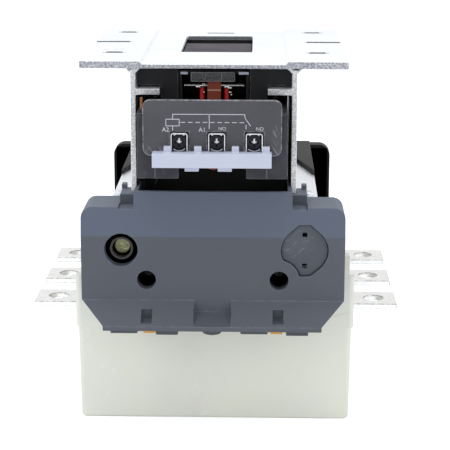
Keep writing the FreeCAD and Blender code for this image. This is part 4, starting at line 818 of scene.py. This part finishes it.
# Black mouldings: base frame, far cover, the studs' sleeves, the contact carrier and its arm.
black = plastic("black_plastic", (0.004, 0.0041, 0.0045), (0.007, 0.0072, 0.0078), 0.5,
                (0.06, 0.06, 0.065), 0.15, edge_wear_and_highlight_level=0.45)
gloss_black = plastic("gloss_black_plastic", (0.003, 0.002, 0.002), (0.006, 0.004, 0.004), 0.22,
                      (0.05, 0.035, 0.03), 0.45)
for node in ("far_cover", "base_frame", "contact_carrier", "auxiliary_arm"):
    soften(node, black, 0.35)
soften("stud_sleeves", gloss_black, 0.35)


# Auxiliary drivers: small orange slides in the housing's lower edge.
orange = plastic("orange_plastic", (0.76, 0.33, 0.035), (0.90, 0.46, 0.07), 0.42, (0.98, 0.72, 0.30), 0.35)
for node in ("auxiliary_driver_left", "auxiliary_driver_right"):
    soften(node, orange, 0.3)


# Pole housing and arc chamber: pale beige glass-filled mouldings, faintly yellowed in patches,
# with curved white scuffs, and a thin raised rib where the near wall was gated.
def beige_tone(tree, body):
    """Slightly yellowed patches, curved white scuffs and one white speck."""
    yellow = use_group(tree, blotches, scale=17.0, low=0.42, high=0.62)[0]
    body = blend(tree, maths(tree, "MULTIPLY", yellow, 0.5), body, (0.82, 0.82, 0.67))
    veins = size_of(tree, maths(tree, "SUBTRACT", cloud(tree, object_place(tree), 85.0, 1.0, 0.5), 0.5))
    thin = ramp(tree, veins, 0.010, 0.003)
    for centre, reach in (((-58.0, -57.0, 26.0), 20.0), ((-70.0, -57.0, 47.0), 12.0),
                          ((0.0, -57.0, 14.0), 26.0)):
        body = blend(tree, all_of(tree, near_spot(tree, centre, reach), thin, 0.4), body,
                     (0.92, 0.92, 0.90))
    return blend(tree, ramp(tree, near_spot(tree, (-61.2, -57.0, 14.0), 1.7), 0.1, 0.6), body,
                 (0.92, 0.92, 0.92))


beige = plastic("beige_plastic", (0.745, 0.745, 0.655), (0.82, 0.815, 0.725), 0.46, (0.87, 0.87, 0.81),
                0.35, grain=1500.0,
                edge_wear_and_highlight_level=0.6, blotch=14.0, edge_scale=180.0, tone_over=beige_tone)
soften("pole_housing", beige, 0.45)
soften("arc_chamber", beige, 0.45, top=0.05)
bm = bmesh.new()
rod(bm, (62.0, -57.0, 60.2), (74.5, -57.0, 63.4), 0.3, 8)
show("gate_rib", finished_mesh("gate_rib", bm), beige)


# Terminals and contacts: silver-plated copper bars, nearly white, with tarnished edges.
silver = metal("plated_copper", (0.78, 0.77, 0.75), (0.87, 0.86, 0.83), 0.3, (0.16, 0.16, 0.15), 0.85,
               0.75, 1200.0)
for node in ("line_terminal_1", "line_terminal_2", "line_terminal_3", "load_terminal_1", "load_terminal_2",
             "load_terminal_3", "moving_bridge_1", "moving_bridge_2", "moving_bridge_3"):
    soften(node, silver, 0.4)
for node in ("fixed_contact_tips", "moving_contact_tips"):
    soften(node, silver, 0.15)


# Arc splitters: plain steel sheets inside the cells.
plain_steel = metal("splitter_steel", (0.40, 0.40, 0.41), (0.52, 0.52, 0.53), 0.4)
for node in ("arc_splitters_1", "arc_splitters_2", "arc_splitters_3"):
    soften(node, plain_steel, 0.1)
